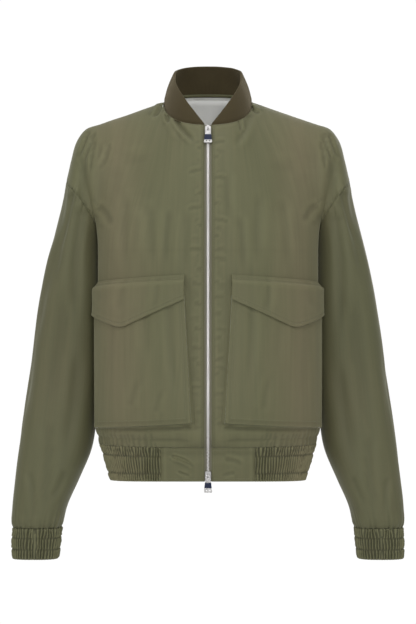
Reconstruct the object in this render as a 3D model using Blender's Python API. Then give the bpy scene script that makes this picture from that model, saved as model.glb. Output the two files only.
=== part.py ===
"""A bomber jacket, filled out as if worn, with nobody in it.

Every panel is a wall of cloth worked out from the jacket's girths: rings round the body, the
line of the shoulder, the neckline and the sections of the sleeve. X is the wearer's left, -Y
the front and +Z up. The origin is the middle of the neck, level with the top of the shoulders.
Left pieces are worked out first, and right ones are their mirror image with folds of their own.
"""

import math
from collections import namedtuple

import bmesh
import bpy
import numpy as np
from mathutils import Matrix, Vector

# ---------------------------------------------------------------- driving sizes, metres
SEAM_GAP = 0.0003  # between two pieces that are sewn together
CLOTH = 0.0016  # the shell's wall
KNIT = 0.0030  # the collar, folded double
ELASTIC = 0.0026  # waistband and cuff, without their gathers
FLAP = 0.0022  # a pocket flap, cloth and facing
LINING = 0.0008
LINING_GAP = 0.0006  # the lining lies this far inside the back
LINING_DROP = 0.0075  # its top edge below the neck seam
STRIP_TOP = 0.00066  # the nape strip's edges below the neck seam
STRIP_WIDTH = 0.0055

UNDERARM_Z = -0.250  # where the side seam meets the sleeve
HEM_SEAM_Z = -0.562
HEM_BOTTOM_Z = -0.622
HEM_LIFT = 0.006  # how much higher the bottom edge is at the centre front
SIDE_Y = 0.020  # the side seam lies a little behind the middle
SQUARE = 2.6  # how squared the rings are; 2 would be an ellipse
TUCK = 0.017  # the sides draw in behind the front, beside the sleeves
TUCK_FROM_Y = -0.060

FRONT_EDGE = 0.0058  # from the centre line to a front's edge beside the zip
TAB_WIDTH = 0.0750  # the waistband's plain tab, from the centre line
TAB_COLUMNS = 6

NECK_WIDTH = 0.073  # half the width of the neck
NECK_Y = 0.005
NECK_Z = -0.001
NECK_FRONT = 0.093  # from the neck's middle to the zip
NECK_DROP = 0.046
NECK_BACK = 0.063
NECK_RISE = 0.0165
NECK_SQUARE = 2.4
COLLAR_HEIGHT = 0.0515
COLLAR_LEAN = 0.36  # how far the collar leans in for each unit it rises
COLLAR_FRONT_LEAN = 0.55  # of that, how much is left of its lean back at the zip
COLLAR_TAPER = 1.6  # how quickly it grows from nothing at the zip
COLLAR_BOW = 0.0022
COLLAR_ROWS = 4

SLEEVE_SEAM_Z = -0.700
CUFF_BOTTOM_Z = -0.751

POCKET_DEPTH = 0.0095
FLAP_CLEARANCE = 0.0005

HEM_GATHERS = 96
CUFF_GATHERS = 32
GATHER = 0.0011  # how far a gather stands above or below the band's mean surface

NECK_COLUMNS_FRONT = 7
NECK_COLUMNS_BACK = 5
SHOULDER_COLUMNS = 7
LOWER_ROWS = 11
LOWER_ROWS_CLOSER = 1.25  # rows lie closer together at the waist, where the front blouses
UPPER_ROWS = 10
SLEEVE_ROWS = 17
SLEEVE_CAP_ROWS = 6  # of these, so many lie between the armhole and the first section
SLEEVE_ROWS_CLOSER = 1.2  # rows lie closer together above the cuff
SLEEVE_FLARE = 0.17  # how far the sleeve leaves the armhole outwards for each unit it drops
HALF_RING_POINTS = 240  # close points that lengths are measured on
RING_POINTS = 1600
NECKLINE_POINTS = 400
SHOULDER_POINTS = 200

Girth = namedtuple("Girth", "height half_width front back")
BODY = (
    Girth(-0.622, 0.166, 0.137, 0.114),
    Girth(-0.590, 0.175, 0.141, 0.118),
    Girth(-0.562, 0.184, 0.146, 0.123),
    Girth(-0.552, 0.189, 0.154, 0.131),
    Girth(-0.520, 0.190, 0.159, 0.136),
    Girth(-0.440, 0.189, 0.156, 0.133),
    Girth(-0.340, 0.187, 0.151, 0.131),
    Girth(-0.250, 0.187, 0.148, 0.134),
    Girth(-0.200, 0.187, 0.146, 0.136),
)

Shoulder = namedtuple("Shoulder", "x y z")
SHOULDER = (
    Shoulder(0.0730, 0.005, -0.0010),
    Shoulder(0.1250, 0.010, -0.0190),
    Shoulder(0.1800, 0.016, -0.0370),
    Shoulder(0.2015, 0.018, -0.0442),
    Shoulder(0.2165, 0.019, -0.0630),
    Shoulder(0.2268, 0.020, -0.0970),
    Shoulder(0.2345, 0.020, -0.1320),
)

# How each column of a panel leaves the underarm line and reaches the neckline or shoulder.
# "across" runs from 0 at the centre to 1 at the side; forward is away from the side seam.
Rise = namedtuple("Rise", "across leave_out leave_forward leave_up arrive_back arrive_up")
FRONT_RISE = (
    Rise(0.00, 0.00, 0.00, 0.20, 0.100, 0.155),
    Rise(0.30, 0.00, 0.00, 0.24, 0.150, 0.120),
    Rise(0.55, 0.00, 0.00, 0.27, 0.230, 0.030),
    Rise(0.72, 0.00, 0.02, 0.24, 0.200, 0.020),
    Rise(0.86, 0.01, 0.14, 0.20, 0.230, 0.020),
    Rise(1.00, 0.02, 0.30, 0.20, 0.300, 0.020),
)
BACK_RISE = (
    Rise(0.00, 0.00, 0.00, 0.28, 0.100, 0.150),
    Rise(0.25, 0.00, 0.00, 0.28, 0.170, 0.120),
    Rise(0.42, 0.00, 0.00, 0.28, 0.260, 0.060),
    Rise(0.60, 0.00, 0.02, 0.27, 0.260, 0.030),
    Rise(0.75, 0.00, 0.06, 0.24, 0.240, 0.020),
    Rise(0.86, 0.01, 0.16, 0.20, 0.240, 0.020),
    Rise(1.00, 0.02, 0.30, 0.20, 0.300, 0.020),
)

Section = namedtuple("Section", "height outer inner middle_y half_depth")
SLEEVE = (
    Section(-0.330, 0.2775, 0.1765, 0.026, 0.0780),
    Section(-0.400, 0.2890, 0.1770, 0.030, 0.0740),
    Section(-0.460, 0.2965, 0.1790, 0.030, 0.0720),
    Section(-0.520, 0.3055, 0.1850, 0.024, 0.0700),
    Section(-0.576, 0.3127, 0.1935, 0.014, 0.0660),
    Section(-0.625, 0.3176, 0.2137, 0.004, 0.0600),
    Section(-0.670, 0.3212, 0.2330, -0.006, 0.0500),
    Section(-0.690, 0.3215, 0.2380, -0.010, 0.0440),
    Section(-0.700, 0.3195, 0.2410, -0.011, 0.0385),
)
CUFF = (
    Section(-0.7003, 0.3195, 0.2410, -0.011, 0.0380),
    Section(-0.726, 0.3205, 0.2432, -0.014, 0.0350),
    Section(-0.751, 0.3193, 0.2460, -0.016, 0.0330),
)

# A fold on a front, seen from in front: from one place to another, how wide and how deep.
# A ridge has a negative depth. "side" is 1 on the wearer's left and -1 on the right.
Fold = namedtuple("Fold", "side x0 z0 x1 z1 width depth")
FOLDS = (
    Fold(-1, 0.176, -0.060, 0.160, -0.170, 0.016, 0.0030),
    Fold(1, 0.178, -0.055, 0.166, -0.180, 0.016, 0.0028),
    Fold(-1, 0.060, -0.060, 0.030, -0.090, 0.014, 0.0018),
    Fold(1, 0.070, -0.055, 0.050, -0.110, 0.016, 0.0018),
    Fold(-1, 0.120, -0.080, 0.090, -0.200, 0.022, 0.0020),
    Fold(1, 0.125, -0.090, 0.100, -0.220, 0.022, 0.0020),
)

Pocket = namedtuple("Pocket", "height inner outer")
POCKET = (
    Pocket(-0.3080, 0.0380, 0.2120),
    Pocket(-0.5220, 0.0265, 0.2060),
)
POCKET_DROP = 0.0120  # how much lower a pocket's outer edge is than its inner one
POCKET_FOOT = 0.0006  # the bellows' edge stands this far off the front
BELLOWS_FLARE = 0.0026  # the bellows' foot lies this far outside its fold
POCKET_ROWS = 7
OVER_POCKET = (2, 9)  # the front's columns that lie wholly under a pocket
FLAP_TOP_Z = -0.2890
FLAP_TOP_DROP = 0.0106  # how much lower the flap's top edge is at its outer end
FLAP_RISE = (0.0, 0.0070, 0.0128)  # the flap climbs over the pocket's mouth this far down
FLAP_ROWS = (0.35, 0.7, 1.0)  # from there to its lower edge
FLAP_LIFT = (0.0, 0.62, 1.0, 1.0, 1.0, 1.0)  # how far each row has climbed
FLAP_OVERHANG = 0.0012
FlapEdge = namedtuple("FlapEdge", "across height")
FLAP_EDGE = (
    FlapEdge(0.00, -0.3285),
    FlapEdge(0.56, -0.3742),
    FlapEdge(1.00, -0.3540),
)

CHAIN_HALF_WIDTH = 0.0028
CHAIN_THICK = 0.0024
TAPE_EDGE = 0.0031
TAPE_SHARE = 0.35  # how far the tape reaches below the first column of the front
TAPE_THICK = 0.0007
TAPE_GAP = 0.0006  # behind the front's wall
CHAIN_END_Z = -0.6130
ZIP_TAB_SHARES = (1.0, 0.75, 0.5, 0.25)  # the zip's rows down the waistband's depth

SLIDER_WIDTH = 0.0092
SLIDER_LENGTH = 0.0140
SLIDER_PLATE = 0.0016
SLIDER_CORNER = 0.0028
BRIDGE_CLEARANCE = 0.0007  # under the pull's bar
BRIDGE_WIRE = 0.0008
BRIDGE_RADIUS = 0.0022
PULL_THICK = 0.0016
PULL_BAR = 0.0015  # the pull's top bar, which turns under the bridge
PULL_HOLE = (0.0026, 0.0034)  # across and along
PULL_TOP_WIDTH = 0.0074
PULL_END_WIDTH = 0.0128
PULL_LENGTH = 0.0267
PULL_EYE = 0.0012  # radius of the two small holes at the pull's end
PULL_EYE_SPACING = 0.0025
PULL_EYE_RISE = 0.0034  # the eyes' middle above the pull's end
PULL_CORNER = 0.0012
SLIDER_TOP_Z = -0.0560
SLIDER_BOTTOM_Z = -0.6060

OLIVE = (0.150, 0.150, 0.085, 1)
DARK_OLIVE = (0.060, 0.050, 0.028, 1)
PALE = (0.46, 0.46, 0.43, 1)
SILVER = (0.70, 0.70, 0.69, 1)


# ---------------------------------------------------------------- curves and rings
def hermite(start, end, leave, arrive, along):
    """A cubic from start to end that leaves and arrives with the given slopes."""
    t = along
    return (
        (2 * t**3 - 3 * t**2 + 1) * start
        + (t**3 - 2 * t**2 + t) * leave
        + (3 * t**2 - 2 * t**3) * end
        + (t**3 - t**2) * arrive
    )


def smooth(share):
    """0 below 0, 1 above 1, and an even S between."""
    t = np.clip(share, 0, 1)
    return t * t * (3 - 2 * t)


def read_off(rows, key, value, at):
    """A table's value at places along its key, on a smooth curve through its rows."""
    x = np.array([getattr(row, key) for row in rows])
    y = np.array([getattr(row, value) for row in rows])
    order = np.argsort(x)
    x, y = x[order], y[order]
    slope = np.gradient(y, x)
    i = np.clip(np.searchsorted(x, at, side="right") - 1, 0, len(x) - 2)
    step = x[i + 1] - x[i]
    share = np.clip((at - x[i]) / step, 0, 1)
    return hermite(y[i], y[i + 1], slope[i] * step, slope[i + 1] * step, share)


def place_along(points, lengths):
    """The points at these lengths along a polyline of close points."""
    steps = np.linalg.norm(np.diff(points, axis=0), axis=1)
    run = np.concatenate([[0], np.cumsum(steps)])
    return np.stack([np.interp(lengths, run, points[:, k]) for k in range(3)], axis=-1)


def length_of(points):
    return float(np.linalg.norm(np.diff(points, axis=0), axis=1).sum())


def ring(height, turn):
    """The body's outer face at one height. Turn 0 is the centre front and 1 the side seam,
    2 the centre back, 3 the right side seam and 4 the centre front again."""
    half_width = read_off(BODY, "height", "half_width", height)
    front = read_off(BODY, "height", "front", height)
    back = read_off(BODY, "height", "back", height)
    angle = np.asarray(turn) * math.pi / 2
    sine, cosine = np.sin(angle), np.cos(angle)
    across = np.sign(sine) * np.abs(sine) ** (2 / SQUARE)
    ahead = np.sign(cosine) * np.abs(cosine) ** (2 / SQUARE)
    y = SIDE_Y - ahead * np.where(ahead > 0, front + SIDE_Y, back - SIDE_Y)
    x = across * (half_width - TUCK * smooth((y - TUCK_FROM_Y) / (SIDE_Y - TUCK_FROM_Y)))
    return np.stack([x, y, np.full_like(x, height)], axis=-1)


def half_ring(height):
    """Close points from the centre front to the left side seam."""
    return ring(height, np.linspace(0, 1, HALF_RING_POINTS))


def back_half_ring(height):
    """Close points from the centre back to the left side seam."""
    return ring(height, np.linspace(2, 1, HALF_RING_POINTS))


def skin(height, share):
    """Outer face of the left front below the underarm; share runs across it as its columns
    do, from its edge by the zip to the side seam."""
    places = []
    for z, part in zip(height, share):
        dense = half_ring(z)
        places.append(place_along(dense, FRONT_EDGE + (length_of(dense) - FRONT_EDGE) * part))
    return np.array(places)


def skin_share(height, across):
    """The share across the left front that is this long a way from the centre line."""
    lengths = np.array([length_of(half_ring(z)) for z in height])
    return (across - FRONT_EDGE) / (lengths - FRONT_EDGE)


def skin_normal(height, share):
    """Which way the left front faces, from the slope of its face on each side."""
    step = 0.002
    along = skin(height, share + 4 * step) - skin(height, share - 4 * step)
    up = skin(height + step, share) - skin(height - step, share)
    normal = np.cross(along, up)
    return normal / np.linalg.norm(normal, axis=-1, keepdims=True)


def neckline(share, front):
    """The neck seam from its centre (0) to the shoulder (1), in front or behind."""
    angle = share * math.pi / 2
    across = np.sin(angle) ** (2 / NECK_SQUARE)
    ahead = np.cos(angle) ** (2 / NECK_SQUARE)
    if front:
        return np.stack(
            [
                NECK_WIDTH * across,
                NECK_Y - NECK_FRONT * ahead,
                NECK_Z - NECK_DROP * ahead,
            ],
            axis=-1,
        )
    return np.stack(
        [NECK_WIDTH * across, NECK_Y + NECK_BACK * ahead, NECK_Z + NECK_RISE * ahead],
        axis=-1,
    )


def shoulder_line():
    """Close points along the shoulder seam, from the neck down to the sleeve."""
    table = np.array(SHOULDER)
    steps = np.linalg.norm(np.diff(table, axis=0), axis=1)
    Along = namedtuple("Along", "run x y z")
    rows = [Along(run, *row) for run, row in zip(np.concatenate([[0], np.cumsum(steps)]), table)]
    run = np.linspace(0, rows[-1].run, SHOULDER_POINTS)
    return np.stack([read_off(rows, "run", axis, run) for axis in "xyz"], axis=-1)


def top_line(front):
    """A panel's upper edge: its part of the neckline, then the shoulder."""
    dense = neckline(np.linspace(0, 1, NECKLINE_POINTS), front)
    start = FRONT_EDGE if front else 0.0
    dense = dense[dense[:, 0] >= start]
    count = NECK_COLUMNS_FRONT if front else NECK_COLUMNS_BACK
    neck = place_along(dense, np.linspace(0, length_of(dense), count + 1))
    if front:
        neck[0, 0] = FRONT_EDGE
    line = shoulder_line()
    shoulder = place_along(line, np.linspace(0, length_of(line), SHOULDER_COLUMNS + 1))
    return np.concatenate([neck, shoulder[1:]])


# ---------------------------------------------------------------- panels as grids
def panel_grid(front):
    """Rows from the waist seam up to the neck and shoulder, columns from the centre out."""
    top = top_line(front)
    share = np.linspace(0, 1, len(top))
    start = FRONT_EDGE if front else 0.0
    rows = []
    share_up = np.linspace(0, 1, LOWER_ROWS + 1) ** LOWER_ROWS_CLOSER
    for height in HEM_SEAM_Z + (UNDERARM_Z - HEM_SEAM_Z) * share_up:
        dense = half_ring(height) if front else back_half_ring(height)
        rows.append(place_along(dense, start + (length_of(dense) - start) * share))
    base = rows[-1]
    table = FRONT_RISE if front else BACK_RISE
    ahead = -1 if front else 1
    leave = np.stack(
        [
            read_off(table, "across", "leave_out", share),
            ahead * read_off(table, "across", "leave_forward", share),
            read_off(table, "across", "leave_up", share),
        ],
        axis=-1,
    )
    arrive = np.stack(
        [
            np.zeros_like(share),
            -ahead * read_off(table, "across", "arrive_back", share),
            read_off(table, "across", "arrive_up", share),
        ],
        axis=-1,
    )
    for along in np.linspace(0, 1, UPPER_ROWS + 1)[1:]:
        rows.append(hermite(base, top, leave, arrive, along))
    return np.array(rows)


def normals(grid, outward):
    """Unit normals of a grid, turned to the side that outward says at its middle."""
    up = np.gradient(grid, axis=0)
    along = np.gradient(grid, axis=1)
    normal = np.cross(along, up)
    normal /= np.maximum(np.linalg.norm(normal, axis=-1, keepdims=True), 1e-12)
    middle = tuple(n // 2 for n in grid.shape[:2])
    if np.dot(normal[middle], outward) < 0:
        normal = -normal
    return normal


def agree(*edges):
    """Gives edges that are sewn together the same normals, so that their walls meet flush."""
    total = sum(np.array(edge) for edge in edges)
    total /= np.linalg.norm(total, axis=-1, keepdims=True)
    for edge in edges:
        edge[...] = total


def level(edge):
    """Turns an edge's normals level, so that its rim is flat."""
    edge[..., 2] = 0
    edge /= np.linalg.norm(edge, axis=-1, keepdims=True)


def drawn_back(grid, first_row=0.0, last_row=0.0, first_column=0.0, last_column=0.0):
    """The grid with its edges drawn in along its own surface, which leaves the seam's gap."""
    drawn = grid.copy()

    def draw(edge, neighbour, amount):
        way = neighbour - edge
        edge += way / np.linalg.norm(way, axis=-1, keepdims=True) * amount

    draw(drawn[:, 0], grid[:, 1], first_column)
    draw(drawn[:, -1], grid[:, -2], last_column)
    draw(drawn[0], drawn[1].copy(), first_row)
    draw(drawn[-1], drawn[-2].copy(), last_row)
    return drawn


def folded(grid, normal, side):
    """A front's grid with its folds pressed in along its normals."""
    depth = np.zeros(grid.shape[:2])
    for fold in FOLDS:
        if fold.side != side:
            continue
        start, end = np.array([fold.x0, fold.z0]), np.array([fold.x1, fold.z1])
        run = end - start
        place = grid[..., [0, 2]] - start
        share = (place @ run) / (run @ run)
        nearest = np.clip(share, 0, 1)[..., None] * run
        away = np.linalg.norm(place - nearest, axis=-1)
        depth += fold.depth * np.exp(-((away / fold.width) ** 2))
    edge = np.ones_like(depth)
    edge[:, :2] = 0
    edge[:, -1] = 0
    edge[-1] = 0
    return grid - normal * (depth * edge)[..., None]


# ---------------------------------------------------------------- solids
def finish(name, mesh_or_bmesh, colour, rough, metal=0.0):
    """Makes the object of a finished mesh, with its own material."""
    mesh = mesh_or_bmesh
    if isinstance(mesh_or_bmesh, bmesh.types.BMesh):
        mesh = bpy.data.meshes.new(name)
        mesh_or_bmesh.to_mesh(mesh)
        mesh_or_bmesh.free()
    material = bpy.data.materials.new(name)
    material.use_nodes = True
    shader = material.node_tree.nodes["Principled BSDF"]
    shader.inputs["Base Color"].default_value = colour
    shader.inputs["Roughness"].default_value = rough
    shader.inputs["Metallic"].default_value = metal
    mesh.materials.clear()
    mesh.materials.append(material)
    thing = bpy.data.objects.new(name, mesh)
    JACKET.objects.link(thing)
    return thing


def wall(name, outer, inner, colour, rough=0.8, metal=0.0, wraps=False, side=1):
    """A closed wall between an outer and an inner grid, with rims along its open edges.
    A right-hand piece is the mirror image of the grids it is given."""
    rows, columns = outer.shape[:2]
    points = np.concatenate([outer.reshape(-1, 3), inner.reshape(-1, 3)])
    points = points * np.array([side, 1, 1])
    index = np.arange(rows * columns).reshape(rows, columns)
    if wraps:
        index = np.concatenate([index, index[:, :1]], axis=1)
    under = index + rows * columns
    quads = [
        np.stack([a[:-1, :-1], a[:-1, 1:], a[1:, 1:], a[1:, :-1]], axis=-1).reshape(-1, 4)
        for a in (index, under)
    ]
    edges = [(index[0], under[0]), (index[-1], under[-1])]
    if not wraps:
        edges += [(index[:, 0], under[:, 0]), (index[:, -1], under[:, -1])]
    for top, bottom in edges:
        quads.append(np.stack([top[:-1], top[1:], bottom[1:], bottom[:-1]], axis=-1))
    mesh = bpy.data.meshes.new(name)
    mesh.from_pydata(points.tolist(), [], np.concatenate(quads).tolist())
    form = bmesh.new()
    form.from_mesh(mesh)
    bpy.data.meshes.remove(mesh)
    bmesh.ops.recalc_face_normals(form, faces=form.faces)
    if form.calc_volume(signed=True) < 0:
        bmesh.ops.reverse_faces(form, faces=form.faces)
    for face in form.faces:
        face.smooth = True
    return finish(name, form, colour, rough, metal)


def section_ring(row_values, turns):
    """A sleeve's section; turn 0 is its inner side, 0.25 the front, 0.5 the outer side."""
    height, outer, inner, middle_y, half_depth = row_values
    angle = 2 * math.pi * turns
    x = (outer + inner) / 2 - (outer - inner) / 2 * np.cos(angle)
    y = middle_y - half_depth * np.sin(angle)
    return np.stack([x, y, np.full_like(x, height)], axis=-1)


def section_at(table, height):
    return [height] + [
        float(read_off(table, "height", name, np.array(height)))
        for name in ("outer", "inner", "middle_y", "half_depth")
    ]


def sleeve_grid(armhole):
    """From the armhole seam down to the cuff; columns go round from the underarm."""
    columns = len(armhole)
    turns = np.arange(columns) / columns
    first = section_ring(section_at(SLEEVE, SLEEVE[0].height), turns)
    below = section_ring(section_at(SLEEVE, SLEEVE[0].height - 0.02), turns)
    drop = np.linalg.norm(first - armhole, axis=-1, keepdims=True)
    arrive = (below - first) / 0.02 * drop
    leave = np.array([SLEEVE_FLARE, 0, -1]) * drop
    steps = np.linspace(0, 1, SLEEVE_CAP_ROWS + 1)
    rows = [hermite(armhole, first, leave, arrive, along) for along in steps]
    share = np.linspace(0, 1, SLEEVE_ROWS - SLEEVE_CAP_ROWS + 1)[1:]
    heights = SLEEVE[0].height + (SLEEVE_SEAM_Z - SLEEVE[0].height) * (1 - (1 - share) ** SLEEVE_ROWS_CLOSER)
    rows += [section_ring(section_at(SLEEVE, z), turns) for z in heights]
    return np.array(rows)


def around_normals(grid):
    """Normals of a grid whose columns close on themselves, facing away from its middle."""
    wide = np.concatenate([grid[:, -1:], grid, grid[:, :1]], axis=1)
    along = (wide[:, 2:] - wide[:, :-2]) / 2
    normal = np.cross(along, np.gradient(grid, axis=0))
    normal /= np.linalg.norm(normal, axis=-1, keepdims=True)
    outward = grid - grid.mean(axis=1, keepdims=True)
    if (normal * outward).sum() < 0:
        normal = -normal
    return normal


# ---------------------------------------------------------------- shell: fronts, back, sleeves
def make_shell():
    """The fronts, the back and the sleeves, with normals that agree at every seam. Returns
    the grids that other pieces are made from."""
    front = panel_grid(front=True)
    back = panel_grid(front=False)
    front_normal = normals(front, (0, -1, 0))
    back_normal = normals(back, (0, 1, 0))
    back_normal[:, 0, 0] = 0  # the back's own mirror line
    back_normal[:, 0] /= np.linalg.norm(back_normal[:, 0], axis=-1, keepdims=True)
    half = SEAM_GAP / 2
    front_inset, back_inset = front_normal * half, back_normal * half
    seam = slice(0, LOWER_ROWS + 1)
    agree(front_normal[seam, -1], back_normal[seam, -1])
    agree(front_normal[-1, NECK_COLUMNS_FRONT:], back_normal[-1, NECK_COLUMNS_BACK:])
    for edge in (front_normal[0], back_normal[0]):
        level(edge)

    upper = slice(LOWER_ROWS, None)
    armhole = np.concatenate([front[upper, -1], back[upper, -1][::-1][1:-1]])
    sleeve = sleeve_grid(armhole)
    sleeve_normal = around_normals(sleeve)
    sleeve_inset = sleeve_normal * half
    count = UPPER_ROWS + 1
    front_edge = sleeve_normal[0, :count]
    agree(front_normal[upper, -1], front_edge)
    back_edge = sleeve_normal[0, count:]
    back_own = back_normal[LOWER_ROWS + 1 : -1, -1][::-1]
    agree(back_own, back_edge)
    back_normal[LOWER_ROWS, -1] = front_normal[LOWER_ROWS, -1]
    back_normal[-1, -1] = front_normal[-1, -1]
    level(sleeve_normal[-1])

    neck_normal = collar_normals(front, back)
    agree(front_normal[-1, : NECK_COLUMNS_FRONT + 1], neck_normal[0])
    agree(back_normal[-1, : NECK_COLUMNS_BACK + 1], neck_normal[1])
    shared = (front_normal[-1, NECK_COLUMNS_FRONT] + back_normal[-1, NECK_COLUMNS_BACK]) / 2
    shared /= np.linalg.norm(shared)
    front_normal[-1, NECK_COLUMNS_FRONT] = shared
    back_normal[-1, NECK_COLUMNS_BACK] = shared

    for side, word in ((1, "left"), (-1, "right")):
        outer = drawn_back(front, first_row=half, last_row=half, last_column=half) - front_inset
        outer = folded(outer, front_normal, side)
        wall(f"front_{word}", outer, outer - front_normal * CLOTH, OLIVE, side=side)
        tube = drawn_back(sleeve, first_row=half, last_row=half) - sleeve_inset
        wall(
            f"sleeve_{word}",
            tube,
            tube - sleeve_normal * CLOTH,
            OLIVE,
            wraps=True,
            side=side,
        )
    outer = drawn_back(back, first_row=half, last_row=half, last_column=SEAM_GAP) - back_inset
    mirror = np.array([-1, 1, 1])
    whole = np.concatenate([outer[:, :0:-1] * mirror, outer], axis=1)
    whole_normal = np.concatenate([back_normal[:, :0:-1] * mirror, back_normal], axis=1)
    wall("back", whole, whole - whole_normal * CLOTH, OLIVE)
    return front, front_normal, back, back_normal, whole, whole_normal


# ---------------------------------------------------------------- collar
def collar_rise(line, front):
    """How high the collar stands at each place of the neckline, and which way it goes."""
    share = line[:, 0] / NECK_WIDTH
    height = np.full(len(line), COLLAR_HEIGHT)
    if front:
        height = COLLAR_HEIGHT * (1 - (1 - np.clip(share, 0, 1)) ** COLLAR_TAPER)
    inward = np.stack([-line[:, 0], NECK_Y - line[:, 1], np.zeros(len(line))], axis=-1)
    inward /= np.maximum(np.linalg.norm(inward, axis=-1, keepdims=True), 1e-9)
    way = inward * COLLAR_LEAN + np.array([0, 0, 1])
    if front:
        way[:, 1] *= COLLAR_FRONT_LEAN
    way /= np.linalg.norm(way, axis=-1, keepdims=True)
    return height, way


def collar_grid(line, front):
    """Rows from the neck seam up to the collar's top edge, bowed a little outwards."""
    height, way = collar_rise(line, front)
    out = np.stack([line[:, 0], line[:, 1] - NECK_Y, np.zeros(len(line))], axis=-1)
    out /= np.linalg.norm(out, axis=-1, keepdims=True)
    rows = []
    for share in np.linspace(0, 1, COLLAR_ROWS + 1):
        bow = COLLAR_BOW * math.sin(math.pi * share) * (height / COLLAR_HEIGHT)[:, None]
        rows.append(line + way * (height * share)[:, None] + out * bow)
    return np.array(rows)


def collar_halves(front, back):
    """The collar's left half, in front of and behind the shoulder."""
    ahead = collar_grid(front[-1, : NECK_COLUMNS_FRONT + 1], True)
    behind = collar_grid(back[-1, : NECK_COLUMNS_BACK + 1], False)
    return ahead, behind


def collar_normals(front, back):
    """The collar's own normals along its seam, in front and behind."""
    ahead, behind = collar_halves(front, back)
    whole = np.concatenate([ahead, behind[:, ::-1][:, 1:]], axis=1)
    normal = normals(whole, (1, 0, 0.3))
    count = NECK_COLUMNS_FRONT + 1
    return normal[0, :count].copy(), normal[0, count - 1 :][::-1].copy()


def make_collar(front, front_normal, back, back_normal):
    ahead, behind = collar_halves(front, back)
    half = np.concatenate([ahead, behind[:, ::-1][:, 1:]], axis=1)
    normal = normals(half, (1, 0, 0.3))
    own = normal.copy()
    own[:, -1, 0] = 0
    count = NECK_COLUMNS_FRONT
    normal[0, : count + 1] = front_normal[-1, : count + 1]
    normal[0, count:] = back_normal[-1, : NECK_COLUMNS_BACK + 1][::-1]
    normal[:, -1, 0] = 0
    normal[:, -1] /= np.linalg.norm(normal[:, -1], axis=-1, keepdims=True)
    half = drawn_back(half, first_row=SEAM_GAP) - own * SEAM_GAP / 2
    thick = np.full(half.shape[:2], KNIT)
    thick[:, 0] = KNIT * 0.5
    thick[0] = CLOTH
    inner = half - normal * thick[..., None]
    mirror = np.array([-1, 1, 1])
    outer = np.concatenate([half, half[:, ::-1][:, 1:] * mirror], axis=1)
    inner = np.concatenate([inner, inner[:, ::-1][:, 1:] * mirror], axis=1)
    wall("collar", outer, inner, DARK_OLIVE, 0.9)


# ---------------------------------------------------------------- waistband and cuffs
def hem_height(share, place):
    """Height on the waistband, from its seam (0) to its bottom edge (1), higher in front."""
    ahead = np.clip(-place[:, 1] / BODY[0].front, 0, 1)
    return HEM_SEAM_Z + share * (HEM_BOTTOM_Z - HEM_SEAM_Z + HEM_LIFT * ahead**2)


def band_row(share, start, end, count):
    """One row of the waistband: points between two lengths round the body."""
    height = HEM_SEAM_Z + share * (HEM_BOTTOM_Z - HEM_SEAM_Z)
    dense = ring(height, np.linspace(0, 4, RING_POINTS))
    total = length_of(dense)
    row = place_along(dense, np.linspace(start, total - start if end is None else end, count))
    row[:, 2] = hem_height(share, row)
    return row


def row_normals(row):
    """Level normals of one row of points, facing away from the body's middle."""
    along = np.gradient(row, axis=0)
    normal = np.stack([along[:, 1], -along[:, 0], np.zeros(len(row))], axis=-1)
    normal /= np.linalg.norm(normal, axis=-1, keepdims=True)
    if (normal * (row - [0, SIDE_Y, 0]))[:, :2].sum() < 0:
        normal = -normal
    return normal


def make_waistband():
    shares = np.array([0.0, 0.2, 0.57, 1.0])
    swell = np.array([0.35, 1.0, 1.0, 0.9])
    count = 2 * HEM_GATHERS + 1
    wave = np.cos(np.arange(count) * math.pi)
    outer, inner = [], []
    for share, amount in zip(shares, swell):
        row = band_row(share, TAB_WIDTH + SEAM_GAP, None, count)
        if share == 0:
            row[:, 2] -= SEAM_GAP / 2
        normal = row_normals(row)
        outer.append(row + normal * (GATHER * amount * wave)[:, None])
        inner.append(row - normal * ELASTIC)
    wall("hem_band", np.array(outer), np.array(inner), OLIVE)

    for side, word in ((1, "left"), (-1, "right")):
        outer, inner = [], []
        for share in np.linspace(0, 1, 5):
            row = band_row(share, FRONT_EDGE, TAB_WIDTH, TAB_COLUMNS)
            if share == 0:
                row[:, 2] -= SEAM_GAP / 2
            normal = row_normals(row)
            outer.append(row)
            inner.append(row - normal * CLOTH)
        wall(f"hem_tab_{word}", np.array(outer), np.array(inner), OLIVE, side=side)


def make_cuffs():
    count = 2 * CUFF_GATHERS
    turns = np.arange(count) / count
    wave = np.cos(np.arange(count) * math.pi)
    shares = np.array([0.0, 0.25, 0.62, 1.0])
    swell = np.array([0.4, 1.0, 1.0, 0.9])
    outer, inner = [], []
    for share, amount in zip(shares, swell):
        height = CUFF[0].height + share * (CUFF_BOTTOM_Z - CUFF[0].height)
        row = section_ring(section_at(CUFF, height), turns)
        normal = around_normals(np.stack([row, row + [0, 0, ELASTIC]]))[0]
        outer.append(row + normal * (GATHER * amount * wave)[:, None])
        inner.append(row - normal * ELASTIC)
    for side, word in ((1, "left"), (-1, "right")):
        wall(f"cuff_{word}", np.array(outer), np.array(inner), OLIVE, wraps=True, side=side)


# ---------------------------------------------------------------- pockets and flaps
def lifted(height, share, lift):
    """Points that stand off the left front by lift."""
    shape = height.shape
    height, share, lift = height.ravel(), share.ravel(), lift.ravel()
    place = skin(height, share) + skin_normal(height, share) * lift[:, None]
    return place.reshape(*shape, 3)


def columns_over(height, inner, outer, drop):
    """Shares across the front for a piece that lies on it: its two edges, and between them
    the front's own columns, so that both bend round the body at the same places."""
    total = NECK_COLUMNS_FRONT + SHOULDER_COLUMNS
    between = np.arange(OVER_POCKET[0], OVER_POCKET[1] + 1) / total
    middle = np.broadcast_to(between, (len(height), len(between)))
    edges = [skin_share(height, inner)[:, None], skin_share(height - drop, outer)[:, None]]
    return np.concatenate([edges[0], middle, edges[1]], axis=1)


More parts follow.
